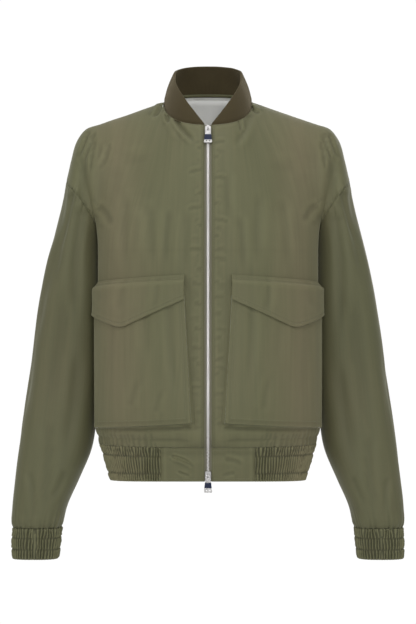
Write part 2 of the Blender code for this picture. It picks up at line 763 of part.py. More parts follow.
def slanted(height, share, drop):
    """The heights of a piece's rows at each column, lower towards its outer edge."""
    along = (share - share[:, :1]) / (share[:, -1:] - share[:, :1])
    return height[:, None] - drop * along


def pocket_tray(inset, stand):
    """A pocket's face with its bellows sides: outer face at inset 0, inner face within it."""
    high, low = POCKET
    rise = high.height - low.height - inset
    rows = low.height + inset + rise * np.linspace(0, 1, POCKET_ROWS + 1)
    rows = np.concatenate([[rows[0] - BELLOWS_FLARE], rows])
    edge = (rows - low.height) / (high.height - low.height)
    inner = low.inner + (high.inner - low.inner) * edge + inset
    outer = low.outer + (high.outer - low.outer) * edge - inset
    share = columns_over(rows, inner, outer, POCKET_DROP)
    feet = (
        skin_share(rows, inner - BELLOWS_FLARE)[:, None],
        skin_share(rows - POCKET_DROP, outer + BELLOWS_FLARE)[:, None],
    )
    share = np.concatenate([feet[0], share, feet[1]], axis=1)
    lift = np.full(share.shape, stand)
    lift[0] = POCKET_FOOT
    lift[:, 0] = POCKET_FOOT
    lift[:, -1] = POCKET_FOOT
    return slanted(rows, share, POCKET_DROP), share, lift


def make_pockets():
    outer = lifted(*pocket_tray(0.0, POCKET_DEPTH))
    inner = lifted(*pocket_tray(CLOTH, POCKET_DEPTH - CLOTH))
    for side, word in ((1, "left"), (-1, "right")):
        wall(f"pocket_{word}", outer, inner, OLIVE, side=side)


def flap_layer(stand):
    """One face of a flap. It leaves the front at its top edge and lies over the pocket."""
    inner = np.array([POCKET[0].inner - FLAP_OVERHANG])
    outer = np.array([POCKET[0].outer - FLAP_OVERHANG])
    share = columns_over(np.array([FLAP_TOP_Z]), inner, outer, FLAP_TOP_DROP)[0]
    along = (share - share[0]) / (share[-1] - share[0])
    low = read_edge(along)
    top = FLAP_TOP_Z - FLAP_TOP_DROP * along
    rows = [top - step for step in FLAP_RISE]
    rows += [rows[-1] + (low - rows[-1]) * part for part in FLAP_ROWS]
    height = np.array(rows)
    up = np.array(FLAP_LIFT)[:, None]
    base = POCKET_DEPTH + FLAP_CLEARANCE
    lift = POCKET_FOOT + (base - POCKET_FOOT) * up + stand
    return height, np.broadcast_to(share, height.shape), np.broadcast_to(lift, height.shape)


def read_edge(along):
    """The flap's lower edge: two straight runs that meet in an off-centre point."""
    return np.interp(along, [row.across for row in FLAP_EDGE], [row.height for row in FLAP_EDGE])


def make_flaps():
    outer = lifted(*flap_layer(FLAP))
    inner = lifted(*flap_layer(0.0))
    for side, word in ((1, "left"), (-1, "right")):
        wall(f"flap_{word}", outer, inner, OLIVE, side=side)


# ---------------------------------------------------------------- lining
def make_lining(whole, whole_normal):
    """The back's lining, and the strip of shell cloth that covers the nape seam."""
    inner = whole - whole_normal * (CLOTH + LINING_GAP)
    middle = whole.shape[1] // 2
    strip = slice(middle - NECK_COLUMNS_BACK + 1, middle + NECK_COLUMNS_BACK)
    top, below = inner[-1, strip], inner[-2, strip]
    down = (below - top) / np.linalg.norm(below - top, axis=-1, keepdims=True)
    face = np.array([top + down * STRIP_WIDTH, top + down * STRIP_TOP])
    way = np.array([whole_normal[-2, strip] * 0.5 + whole_normal[-1, strip] * 0.5] * 2)
    wall("neck_strip", face, face - way * LINING, OLIVE)

    rows = np.concatenate([np.arange(1, LOWER_ROWS, 2), np.arange(LOWER_ROWS, whole.shape[0])])
    face = inner[rows, 1:-1].copy()
    normal = whole_normal[rows, 1:-1]
    down = (face[-2] - face[-1]) / np.linalg.norm(face[-2] - face[-1], axis=-1, keepdims=True)
    face[-1] += down * LINING_DROP
    wall("lining_back", face, face - normal * LINING, PALE)


# ---------------------------------------------------------------- zip
def zip_path(front):
    """The fronts' edge from the bottom of the waistband to the neck, as y and z, and the
    way it faces."""
    tab = [band_row(share, FRONT_EDGE, TAB_WIDTH, 2)[0] for share in ZIP_TAB_SHARES]
    line = np.concatenate([np.array(tab), front[:, 0]])[:, 1:]
    up = np.gradient(line, axis=0)
    up /= np.linalg.norm(up, axis=-1, keepdims=True)
    out = np.stack([-up[:, 1], up[:, 0]], axis=-1)
    return line, out


def bar_along(name, line, out, sides, depths, colour, rough, metal):
    """A flat bar along the zip: between two places across and two depths below the cloth."""
    faces = []
    for depth in depths:
        row = line - out * depth
        faces.append(np.stack([np.column_stack([np.full(len(row), x), row]) for x in sides], axis=1))
    wall(name, faces[0], faces[1], colour, rough, metal)


def make_zip(front, front_normal):
    line, out = zip_path(front)
    keep = line[:, 1] >= CHAIN_END_Z
    keep[np.argmax(keep) - 1] = True
    chain, chain_out = line[keep].copy(), out[keep]
    share = (CHAIN_END_Z - chain[0, 1]) / (chain[1, 1] - chain[0, 1])
    chain[0] += (chain[1] - chain[0]) * share
    sides = (-CHAIN_HALF_WIDTH, CHAIN_HALF_WIDTH)
    depths = (SEAM_GAP, SEAM_GAP + CHAIN_THICK)
    bar_along("zip_chain", chain, chain_out, sides, depths, SILVER, 0.3, 1.0)
    first, second = front[:, 0], front[:, 1]
    share = TAPE_SHARE
    edge = first + (second - first) * share
    way = front_normal[:, 0] * (1 - share) + front_normal[:, 1] * share
    band = [band_row(part, FRONT_EDGE, TAB_WIDTH, TAB_COLUMNS) for part in ZIP_TAB_SHARES]
    tab_edge = np.array([row[0] + (row[1] - row[0]) * 0.5 for row in band])
    tab_way = np.array([row_normals(row)[0] for row in band])
    edge = np.concatenate([tab_edge, edge])
    way = np.concatenate([tab_way, way])
    near = np.column_stack([np.full(len(line), TAPE_EDGE), line])
    near_way = np.column_stack([np.zeros(len(line)), out])
    face = np.stack([near, edge], axis=1)
    face_way = np.stack([near_way, way], axis=1)
    outer = face - face_way * (CLOTH + TAPE_GAP)
    inner = outer - face_way * TAPE_THICK
    for side, word in ((1, "left"), (-1, "right")):
        wall(f"zip_tape_{word}", outer, inner, DARK_OLIVE, side=side)

    for name, height in (("top", SLIDER_TOP_Z), ("bottom", SLIDER_BOTTOM_Z)):
        y = np.interp(height, line[:, 1], line[:, 0])
        way = [np.interp(height, line[:, 1], out[:, k]) for k in (0, 1)]
        below = np.interp(height - PULL_LENGTH, line[:, 1], line[:, 0])
        tilt = math.atan2(y - below, PULL_LENGTH) if name == "top" else 0.0
        make_slider(name, Vector((0, y, height)), way, tilt)


def make_slider(name, place, out, tilt):
    """A slider on the chain, and its pull on a hinge across the zip. The slider is made
    upright, with its front to -Y, and then leant back like the cloth that it lies on."""
    lean = math.atan2(out[1], -out[0])
    leaning = Matrix.Rotation(-lean, 4, "X")
    seat = Matrix.Translation(place) @ leaning
    plate = bmesh.new()
    bmesh.ops.create_cube(plate, size=1)
    bmesh.ops.scale(plate, vec=(SLIDER_WIDTH, SLIDER_PLATE, SLIDER_LENGTH), verts=plate.verts)
    bmesh.ops.translate(plate, vec=(0, -SLIDER_PLATE / 2, 0), verts=plate.verts)
    corners = [
        edge
        for edge in plate.edges
        if abs(edge.verts[0].co.y - edge.verts[1].co.y) > SLIDER_PLATE / 2
    ]
    round_off = {"offset": SLIDER_CORNER, "segments": 4, "profile": 0.5, "affect": "EDGES"}
    bmesh.ops.bevel(plate, geom=corners, **round_off)
    body = finish(f"slider_{name}", plate, SILVER, 0.25, 1.0)

    axis_out = SLIDER_PLATE + PULL_BAR / 2 + BRIDGE_CLEARANCE
    arch = []
    for angle in np.linspace(0, math.pi, 9):
        out_by = axis_out + BRIDGE_RADIUS * math.sin(angle)
        arch.append((0, -out_by, BRIDGE_RADIUS * math.cos(angle)))
    root = -SLIDER_PLATE / 2
    route = [(0, root, BRIDGE_RADIUS)] + arch + [(0, root, -BRIDGE_RADIUS)]
    bridge = tube(f"bridge_{name}", route, BRIDGE_WIRE)
    bridge.hide_render = True
    bridge.display_type = "WIRE"
    join = body.modifiers.new("bridge", "BOOLEAN")
    join.operation = "UNION"
    join.object = bridge
    body.matrix_world = seat
    bridge.matrix_world = seat

    pull = make_pull(f"pull_{name}")
    pull.matrix_world = (
        Matrix.Translation(place)
        @ leaning
        @ Matrix.Translation((0, -axis_out, 0))
        @ leaning.inverted()
        @ Matrix.Rotation(-tilt, 4, "X")
    )


def tube(name, route, radius):
    """A round wire along a route, as a closed mesh among the cutters."""
    curve = bpy.data.curves.new(name, "CURVE")
    curve.dimensions = "3D"
    curve.bevel_depth = radius
    curve.bevel_resolution = 2
    curve.use_fill_caps = True
    spline = curve.splines.new("POLY")
    spline.points.add(len(route) - 1)
    for point, co in zip(spline.points, route):
        point.co = (*co, 1)
    source = bpy.data.objects.new(name, curve)
    CUTTERS.objects.link(source)
    bpy.context.view_layer.update()
    drawn = source.evaluated_get(bpy.context.evaluated_depsgraph_get())
    mesh = bpy.data.meshes.new_from_object(drawn)
    bpy.data.objects.remove(source)
    form = bmesh.new()
    form.from_mesh(mesh)
    bmesh.ops.remove_doubles(form, verts=form.verts, dist=1e-6)
    bmesh.ops.recalc_face_normals(form, faces=form.faces)
    form.to_mesh(mesh)
    form.free()
    thing = bpy.data.objects.new(name, mesh)
    CUTTERS.objects.link(thing)
    return thing


def outline(curve, points):
    spline = curve.splines.new("POLY")
    spline.points.add(len(points) - 1)
    for point, (x, y) in zip(spline.points, points):
        point.co = (x, y, 0, 1)
    spline.use_cyclic_u = True


def make_pull(name):
    """The pull: a flat tab, wider at its end, with a slot for the bridge and two small eyes.
    Its origin is on its hinge, the middle of its top bar, and it hangs along -Z."""
    curve = bpy.data.curves.new(name, "CURVE")
    curve.dimensions = "2D"
    curve.fill_mode = "BOTH"
    curve.extrude = PULL_THICK / 2
    top, end = PULL_TOP_WIDTH / 2, PULL_END_WIDTH / 2
    corner = PULL_CORNER
    outline(
        curve,
        [
            (-top + corner, PULL_BAR / 2),
            (top - corner, PULL_BAR / 2),
            (top, PULL_BAR / 2 - corner * 0.6),
            (end, -PULL_LENGTH + corner),
            (end - corner, -PULL_LENGTH),
            (-end + corner, -PULL_LENGTH),
            (-end, -PULL_LENGTH + corner),
            (-top, PULL_BAR / 2 - corner * 0.6),
        ],
    )
    across, along = PULL_HOLE
    slot_top = -PULL_BAR / 2
    outline(
        curve,
        [
            (-across / 2, slot_top),
            (across / 2, slot_top),
            (across / 2, slot_top - along),
            (-across / 2, slot_top - along),
        ],
    )
    for side in (-1, 1):
        middle = (side * PULL_EYE_SPACING, -PULL_LENGTH + PULL_EYE_RISE)
        turns = np.linspace(0, 2 * math.pi, 8, endpoint=False)
        outline(
            curve,
            [
                (middle[0] + PULL_EYE * math.cos(a), middle[1] + PULL_EYE * math.sin(a))
                for a in turns
            ],
        )
    source = bpy.data.objects.new(name + "_outline", curve)
    CUTTERS.objects.link(source)
    bpy.context.view_layer.update()
    drawn = source.evaluated_get(bpy.context.evaluated_depsgraph_get())
    mesh = bpy.data.meshes.new_from_object(drawn)
    bpy.data.objects.remove(source)
    mesh.transform(Matrix.Rotation(math.radians(90), 4, "X"))
    form = bmesh.new()
    form.from_mesh(mesh)
    bpy.data.meshes.remove(mesh)
    bmesh.ops.remove_doubles(form, verts=form.verts, dist=1e-6)
    bmesh.ops.recalc_face_normals(form, faces=form.faces)
    return finish(name, form, SILVER, 0.25, 1.0)


# ---------------------------------------------------------------- the jacket
for thing in list(bpy.data.objects):
    bpy.data.objects.remove(thing)
JACKET = bpy.data.collections.new("bomber_jacket")
CUTTERS = bpy.data.collections.new("cutters")
for collection in (JACKET, CUTTERS):
    bpy.context.scene.collection.children.link(collection)

front, front_normal, back, back_normal, whole, whole_normal = make_shell()
make_collar(front, front_normal, back, back_normal)
make_waistband()
make_cuffs()
make_pockets()
make_flaps()
make_lining(whole, whole_normal)
make_zip(front, front_normal)
bpy.context.view_layer.update()
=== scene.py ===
# %% [markdown]
# # A bomber jacket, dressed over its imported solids
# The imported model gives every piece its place. Each cloth piece is worked out again here from
# the same sizes, on a much finer grid, so that creases, gathers and seams can be pressed into it.

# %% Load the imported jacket
import math
from collections import namedtuple

import bpy
import numpy as np
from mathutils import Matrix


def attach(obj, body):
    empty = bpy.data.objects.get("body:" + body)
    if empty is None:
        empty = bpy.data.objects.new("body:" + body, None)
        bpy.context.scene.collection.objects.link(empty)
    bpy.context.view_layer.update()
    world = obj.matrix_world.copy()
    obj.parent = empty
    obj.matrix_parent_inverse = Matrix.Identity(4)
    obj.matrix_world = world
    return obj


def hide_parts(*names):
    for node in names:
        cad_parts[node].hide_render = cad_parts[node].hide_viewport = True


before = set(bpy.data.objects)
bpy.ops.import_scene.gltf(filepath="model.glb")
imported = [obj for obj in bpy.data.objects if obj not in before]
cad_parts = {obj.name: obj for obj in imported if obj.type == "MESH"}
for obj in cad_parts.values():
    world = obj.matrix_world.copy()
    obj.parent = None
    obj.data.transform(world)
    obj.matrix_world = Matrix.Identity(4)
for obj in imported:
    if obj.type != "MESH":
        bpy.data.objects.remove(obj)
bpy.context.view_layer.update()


# %% [markdown]
# ## Camera, floor and light
# A level camera a little over three metres away, as in a studio. The floor is plain and pale,
# and the light is soft and comes from all round, a little stronger from the front and above.

# %% The camera
CAMERA_PLACE = (0.0, -3.2, -0.348)
CAMERA_WIDTH = 0.6864  # of the view, at the jacket's middle
camera_data = bpy.data.cameras.new("camera")
camera_data.sensor_fit = "HORIZONTAL"
camera_data.sensor_width = 36
camera_data.lens = 36 * -CAMERA_PLACE[1] / CAMERA_WIDTH
camera = bpy.data.objects.new("camera", camera_data)
camera.location = CAMERA_PLACE
camera.rotation_euler = (math.radians(90), 0, 0)
bpy.context.scene.collection.objects.link(camera)
bpy.context.scene.camera = camera
print("lens", round(camera_data.lens, 1), "mm")


# %% [markdown]
# ## Writing shader maths as expressions
# Finishes are built from nodes. A small class wraps a socket, so that a formula such as
# `1 - mask * 0.3` adds its own Math nodes.

# %% Sockets that can be added and multiplied
class Signal:
    """A node socket that Python's operators work on. Each operator adds one Math node."""

    def __init__(self, book, socket):
        self.book = book
        self.socket = socket

    def math(self, operation, *others):
        return self.book.math(operation, self, *others)

    def __add__(self, other):
        return self.math("ADD", other)

    def __sub__(self, other):
        return self.math("SUBTRACT", other)

    def __rsub__(self, other):
        return self.book.math("SUBTRACT", other, self)

    def __mul__(self, other):
        return self.math("MULTIPLY", other)

    __radd__ = __add__
    __rmul__ = __mul__

    def clipped(self):
        return self.book.node("ShaderNodeClamp", {}, [self])[0]


class Finish:
    """A new material and its one shader, with methods that add nodes."""

    def __init__(self, name, **constants):
        self.material = bpy.data.materials.new(name)
        self.material.use_nodes = True
        self.tree = self.material.node_tree
        self.shader = self.tree.nodes["Principled BSDF"]
        for socket, value in constants.items():
            self.shader.inputs[socket.replace("_", " ")].default_value = value

    def node(self, kind, settings=None, sockets=()):
        """Adds a node, sets it, then gives its inputs values or links, and returns its
        outputs. Sockets is a list in order, or a dictionary of names or numbers."""
        made = self.tree.nodes.new(kind)
        for key, value in (settings or {}).items():
            setattr(made, key, value)
        pairs = sockets.items() if isinstance(sockets, dict) else enumerate(sockets)
        for key, value in pairs:
            self.give(made.inputs[key], value)
        return [Signal(self, socket) for socket in made.outputs if socket.enabled]

    def give(self, socket, value):
        if isinstance(value, Signal):
            self.tree.links.new(value.socket, socket)
        else:
            socket.default_value = value

    def math(self, operation, *values):
        return self.node("ShaderNodeMath", {"operation": operation}, values)[0]

    def set(self, **values):
        """Feeds the shader's sockets, such as Base_Color or Roughness."""
        for socket, value in values.items():
            self.give(self.shader.inputs[socket.replace("_", " ")], value)
        return self.material

    def place(self, scale, coordinates="UV"):
        """The surface's own coordinates, stretched by a scale in each direction."""
        chosen = self.node("ShaderNodeTexCoord")[{"UV": 2, "Object": 3}[coordinates]]
        return self.node("ShaderNodeMapping", {}, {"Vector": chosen, "Scale": scale})[0]

    def noise(self, scale, coordinates="UV", detail=2.0, rough=0.5):
        """Soft noise from 0 to 1 with so many grains a metre in each direction."""
        sockets = {"Scale": 1.0, "Detail": detail, "Roughness": rough}
        sockets["Vector"] = self.place(scale, coordinates)
        return self.node("ShaderNodeTexNoise", {}, sockets)[0]

    def mix(self, factor, first, second, blend="MIX"):
        """Mixes two colours. The colours' own sockets are numbers 6 and 7."""
        settings = {"data_type": "RGBA", "blend_type": blend}
        return self.node("ShaderNodeMix", settings, {0: factor, 6: first, 7: second})[0]

    def bump(self, height, strength, distance, normal=None):
        sockets = {"Strength": strength, "Distance": distance, "Height": height}
        if normal is not None:
            sockets["Normal"] = normal
        return self.node("ShaderNodeBump", {}, sockets)[0]

    def stretched(self, value, low, high):
        """The value's range from low to high, spread from 0 to 1 and clipped."""
        return ((value - low) * (1 / (high - low))).clipped()


def tint(red, green, blue):
    return (red, green, blue, 1.0)


# %% [markdown]
# ## The light crisp weave
# A fine nylon and cotton weave in a greenish and a brownish tone, with a painted sheen: a
# lighter, browner band down each side of the chest. Long thin slubs run down it, and it is
# slightly crinkled, with painted shade in its hollows. Pieces carry a UV map in metres, so the
# threads keep their size and follow each piece's grain.

# %% The shell's weave
GREEN_TONE = tint(0.123, 0.123, 0.062)
BROWN_TONE = tint(0.145, 0.129, 0.072)
# Painted shade: the sleeves and cuffs take a darker copy of the same two tones
SHADED_SLEEVE_GREEN = tint(0.112, 0.112, 0.057)
SHADED_SLEEVE_BROWN = tint(0.131, 0.116, 0.064)
# Painted sheen: a lighter, browner band at this distance from the centre line, this wide
SHEEN_BAND_AT, SHEEN_BAND_REACH = 0.148, 0.060  # from the centre line
# Painted shade: how much darker the colour is in the deepest hollows
PAINTED_HOLLOW_SHADE = 0.42  # in the deepest hollows


def weave(name, green, brown):
    """Two tones in soft clouds, with a painted sheen that makes them browner and lighter in a band
    down each side of the chest, with slubs down the grain, a crosswise grain of threads, and a
    bump of the same threads with long faint crinkles. Painted shade makes it darker in the
    hollows, and a painted highlight makes it lighter on the ridges."""
    cloth = Finish(
        name,
        Roughness=0.62,
        Specular_IOR_Level=0.28,
        Sheen_Weight=0.22,
        Sheen_Roughness=0.42,
        Sheen_Tint=tint(0.80, 0.80, 0.62),
    )
    cloud = cloth.noise((7.0, 7.0, 3.4), "Object", 2.0)
    streak = cloth.noise((120.0, 5.0, 1.0), "UV", 3.0, 0.6)
    slub = cloth.noise((760.0, 16.0, 1.0), "UV", 2.0)
    weft = cloth.noise((40.0, 900.0, 1.0), "UV", 2.0)
    warp = cloth.noise((1300.0, 90.0, 1.0), "UV", 2.0)
    place = cloth.place((1.0, 1.0, 1.0), "Object")
    across = cloth.node("ShaderNodeSeparateXYZ", {}, [place])[0]
    # Painted sheen: the band down each side of the chest, lighter and browner where light falls
    away = cloth.math("ABSOLUTE", cloth.math("ABSOLUTE", across) - SHEEN_BAND_AT)
    painted_sheen = (1 - away * (1 / SHEEN_BAND_REACH)).clipped()
    tone = cloth.stretched(cloud * 0.45 + streak * 0.25 + 0.30 * painted_sheen, 0.30, 0.70)
    colour = cloth.mix(tone, green, brown)
    shade = 0.80 + 0.16 * streak + 0.10 * slub + 0.05 * weft + 0.10 * painted_sheen
    # Painted shade: darker in the sunken places each wall marks, with a painted highlight on
    # ridges
    painted_hollow_shade = cloth.node("ShaderNodeAttribute", {"attribute_name": "painted_hollow_shade"}, [])[2]
    shade = shade * (1 - PAINTED_HOLLOW_SHADE * painted_hollow_shade)
    level = cloth.node("ShaderNodeCombineColor", {}, [shade, shade, shade])[0]
    colour = cloth.mix(1.0, colour, level, "MULTIPLY")
    threads = cloth.bump(warp * 0.5 + weft * 0.5, 0.10, 0.0004)
    crinkle = cloth.bump(streak + 0.5 * slub, 0.22, 0.0012, threads)
    return cloth.set(Base_Color=colour, Roughness=0.56 + 0.12 * streak, Normal=crinkle)


SHELL = weave("shell_weave", GREEN_TONE, BROWN_TONE)
SHADED_SLEEVE_SHELL = weave("shaded_sleeve_weave", SHADED_SLEEVE_GREEN, SHADED_SLEEVE_BROWN)
print("finishes", SHELL.name, SHADED_SLEEVE_SHELL.name)


# %% [markdown]
# ## Rib knit, lining, thread and tape
# The collar is a fine 1 x 1 rib: raised ribs up its height, with painted shade in the hollows
# between them.
# The lining is a pale smooth satin, and the zip's tape and the sewing thread are plain.

# %% The other cloths
RIB_PITCH = 0.0021


def rib_knit():
    """Ribs are a sine of the length along the collar, loosened by noise."""
    knit = Finish(
        "rib_knit",
        Specular_IOR_Level=0.2,
        Sheen_Weight=0.30,
        Sheen_Roughness=0.5,
        Sheen_Tint=tint(0.60, 0.52, 0.36),
    )
    place = knit.place((2 * math.pi / RIB_PITCH, 1.0, 1.0))
    along = knit.node("ShaderNodeSeparateXYZ", {}, [place])[0]
    rib = knit.math("SINE", along) * 0.5 + 0.5
    fuzz = knit.noise((900.0, 500.0, 1.0), "UV", 3.0)
    cloud = knit.noise((30.0, 30.0, 30.0), "Object", 2.0)
    # Painted shade: the colour follows the rib, darker in the hollows between the ribs
    tone = (rib * 0.6 + fuzz * 0.4).clipped()
    colour = knit.mix(tone, tint(0.034, 0.026, 0.012), tint(0.070, 0.053, 0.024))
    colour = knit.mix(0.25 * cloud, colour, tint(0.084, 0.069, 0.034))
    bump = knit.bump(rib + 0.4 * fuzz, 0.35, 0.0005)
    return knit.set(Base_Color=colour, Roughness=0.84 + 0.1 * fuzz, Normal=bump)


def plain_cloth(name, dark, light, grains, rough, sheen):
    """A cloth in two close tones, with a bump of its own grain."""
    cloth = Finish(name, Specular_IOR_Level=0.3, Sheen_Weight=sheen, Sheen_Roughness=0.4)
    grain = cloth.noise(grains, "UV", 3.0)
    cloud = cloth.noise((18.0, 18.0, 9.0), "Object", 2.0)
    colour = cloth.mix((grain * 0.55 + cloud * 0.45).clipped(), dark, light)
    bump = cloth.bump(grain, 0.12, 0.0004)
    return cloth.set(Base_Color=colour, Roughness=rough + 0.08 * grain, Normal=bump)


KNIT_FINISH = rib_knit()
PALE = plain_cloth(
    "lining", tint(0.86, 0.86, 0.83), tint(0.93, 0.93, 0.90), (700, 120, 1), 0.42, 0.1
)
TAPE = plain_cloth(
    "zip_tape", tint(0.120, 0.115, 0.078), tint(0.200, 0.190, 0.140), (500, 900, 1), 0.7, 0.1
)
THREAD = plain_cloth(
    "thread", tint(0.115, 0.115, 0.062), tint(0.19, 0.185, 0.105), (900, 900, 1), 0.55, 0.2
)


# %% [markdown]
# ## Metal and enamel
# The zip is polished nickel with the fine scratches of use, and soft dark and light patches
# painted into its colour as reflections. Each pull has a navy enamel panel under a clear glossy
# coat.

# %% The zip's finishes
def metal(name, dark, light, rough, metallic=1.0):
    polished = Finish(name, Metallic=metallic)
    scratch = polished.noise((900.0, 900.0, 160.0), "Object", 3.0)
    # Painted reflection: soft patches from dark to light stand for what the metal reflects
    cloud = polished.noise((140.0, 140.0, 90.0), "Object", 2.0)
    colour = polished.mix((scratch * 0.4 + cloud * 0.6).clipped(), dark, light)
    bump = polished.bump(scratch, 0.08, 0.0002)
    return polished.set(Base_Color=colour, Roughness=rough + 0.14 * scratch, Normal=bump)


def enamel():
    glossy = Finish("navy_enamel", Specular_IOR_Level=0.3, Coat_Weight=0.25, Coat_Roughness=0.10)
    cloud = glossy.noise((260.0, 260.0, 260.0), "Object", 2.0)
    colour = glossy.mix(cloud, tint(0.006, 0.010, 0.030), tint(0.012, 0.022, 0.062))
    return glossy.set(Base_Color=colour, Roughness=0.22 + 0.08 * cloud)


NICKEL = metal("nickel", tint(0.20, 0.19, 0.19), tint(0.86, 0.85, 0.84), 0.24)
TEETH = metal("zip_teeth", tint(0.80, 0.77, 0.76), tint(0.97, 0.95, 0.94), 0.36, 0.6)
NAVY = enamel()


# %% The floor, and light from all round
FLOOR_Z = -1.35
FLOOR_REACH = 2.9
AMBIENT, SEEN_WHITE = 0.38, 1.02  # how strongly the world lights, and how bright it looks
AIM = (0, 0, -0.3)


def put(name, data, place=(0, 0, 0)):
    """Adds an object of this name and data to the scene."""
    thing = bpy.data.objects.new(name, data)
    thing.location = place
    bpy.context.scene.collection.objects.link(thing)
    return thing


def floor_finish():
    pale = Finish("pale_floor", Specular_IOR_Level=0.2)
    cloud = pale.noise((1.5, 1.5, 1.5), "Object", 2.0)
    colour = pale.mix(cloud, tint(0.86, 0.86, 0.86), tint(0.90, 0.90, 0.90))
    return pale.set(Base_Color=colour, Roughness=0.7 + 0.1 * cloud)


floor_mesh = bpy.data.meshes.new("floor")
corners = ((-1, -1), (1, -1), (1, 1), (-1, 1))
corners = [(x * FLOOR_REACH, y * FLOOR_REACH, FLOOR_Z) for x, y in corners]
floor_mesh.from_pydata(corners, [], [(0, 1, 2, 3)])
floor_mesh.materials.append(floor_finish())
floor = put("floor", floor_mesh)

world = bpy.data.worlds.new("studio")
world.use_nodes = True
tree = world.node_tree
sky = tree.nodes["Background"]
sky.inputs["Color"].default_value = (1, 1, 1, 1)
seen = tree.nodes.new("ShaderNodeLightPath")
bright = tree.nodes.new("ShaderNodeMath")
bright.operation = "MULTIPLY_ADD"
bright.inputs[1].default_value = SEEN_WHITE - AMBIENT
bright.inputs[2].default_value = AMBIENT
tree.links.new(seen.outputs["Is Camera Ray"], bright.inputs[0])
tree.links.new(bright.outputs[0], sky.inputs["Strength"])
bpy.context.scene.world = world
bpy.context.scene.view_settings.view_transform = "Standard"
bpy.context.scene.view_settings.look = "None"

Lamp = namedtuple("Lamp", "name place size power")
LAMPS = (
    Lamp("left", (-2.5, -2.1, 1.0), 1.4, 23),
    Lamp("right", (2.5, -2.1, 1.0), 1.6, 13),
    Lamp("front", (0.2, -2.6, 2.4), 0.9, 25),
    Lamp("low", (0.12, -2.8, -0.05), 0.6, 15),
    Lamp("top", (0.0, -0.2, 2.2), 1.6, 14),
    Lamp("back", (0.6, 3.0, 0.8), 2.4, 22),
)
for lamp in LAMPS:
    light = bpy.data.lights.new(lamp.name, "AREA")
    light.shape = "DISK"
    light.size = lamp.size
    light.energy = lamp.power
    x, y, z = np.array(lamp.place) - np.array(AIM)
    turned = (math.atan2(math.hypot(x, y), z), 0, math.atan2(y, x) + math.pi / 2)
    put(lamp.name, light, lamp.place).rotation_euler = turned
print("lamps", [lamp.name for lamp in LAMPS])

# %% [markdown]
# ## The jacket's sizes
# The same tables that the solids are made from: girths of the body at each height, the line
# of the shoulder, how the panels rise from the underarm, and the sections of the sleeve.

# %% Sizes in metres
CLOTH = 0.0009  # a wall of thin cloth and its lining
SLEEVE_POWER = 2 / 3.0  # the sleeves hang a little flat, front and back
UNDERARM_Z = -0.250
HEM_SEAM_Z = -0.562
HEM_BOTTOM_Z = -0.622
HEM_LIFT = 0.006
SIDE_Y = 0.020
SQUARE = 2.6
TUCK, TUCK_FROM_Y = 0.017, -0.060
FRONT_EDGE = 0.0058
TAB_WIDTH = 0.0750
NECK_WIDTH, NECK_Y, NECK_Z = 0.073, 0.005, -0.001
NECK_FRONT, NECK_DROP = 0.093, 0.046
NECK_BACK, NECK_RISE = 0.063, 0.0165
NECK_SQUARE = 2.4
COLLAR_HEIGHT, COLLAR_LEAN, COLLAR_FRONT_LEAN = 0.0515, 0.36, 0.55
COLLAR_TAPER, COLLAR_BOW = 1.6, 0.0022
COLLAR_START, COLLAR_LEAST = 0.0045, 0.0006  # where it begins to rise, and its height there
SLEEVE_SEAM_Z = -0.700
CUFF_TOP_Z, CUFF_BOTTOM_Z = -0.7003, -0.751
SLEEVE_FLARE = 0.17
CAP_SHARE = 6 / 17  # of the sleeve's rows, those above its first section


def named(kind, *rows):
    """A table: its rows, each with its columns' names."""
    return tuple(kind(*row) for row in rows)


Girth = namedtuple("Girth", "height half_width front back")
BODY = named(
    Girth,
    (-0.622, 0.166, 0.137, 0.114),
    (-0.590, 0.175, 0.141, 0.118),
    (-0.562, 0.184, 0.146, 0.123),
    (-0.552, 0.189, 0.154, 0.131),
    (-0.520, 0.190, 0.159, 0.136),
    (-0.440, 0.189, 0.156, 0.133),
    (-0.340, 0.187, 0.151, 0.131),
    (-0.250, 0.187, 0.148, 0.134),
    (-0.200, 0.187, 0.146, 0.136),
)
Shoulder = namedtuple("Shoulder", "x y z")
SHOULDER = named(
    Shoulder,
    (0.0730, 0.005, -0.0010),
    (0.1250, 0.010, -0.0190),
    (0.1800, 0.016, -0.0370),
    (0.2015, 0.018, -0.0442),
    (0.2165, 0.019, -0.0630),
    (0.2268, 0.020, -0.0970),
    (0.2345, 0.020, -0.1320),
)
Rise = namedtuple("Rise", "across leave_out leave_forward leave_up arrive_back arrive_up")
FRONT_RISE = named(
    Rise,
    (0.00, 0.00, 0.00, 0.20, 0.100, 0.155),
    (0.30, 0.00, 0.00, 0.24, 0.150, 0.120),
    (0.55, 0.00, 0.00, 0.27, 0.230, 0.030),
    (0.72, 0.00, 0.02, 0.24, 0.200, 0.020),
    (0.86, 0.01, 0.14, 0.20, 0.230, 0.020),
    (1.00, 0.02, 0.30, 0.20, 0.300, 0.020),
)
BACK_RISE = named(
    Rise,
    (0.00, 0.00, 0.00, 0.28, 0.100, 0.150),
    (0.25, 0.00, 0.00, 0.28, 0.170, 0.120),
    (0.42, 0.00, 0.00, 0.28, 0.260, 0.060),
    (0.60, 0.00, 0.02, 0.27, 0.260, 0.030),
    (0.75, 0.00, 0.06, 0.24, 0.240, 0.020),
    (0.86, 0.01, 0.16, 0.20, 0.240, 0.020),
    (1.00, 0.02, 0.30, 0.20, 0.300, 0.020),
)
Section = namedtuple("Section", "height outer inner middle_y half_depth")
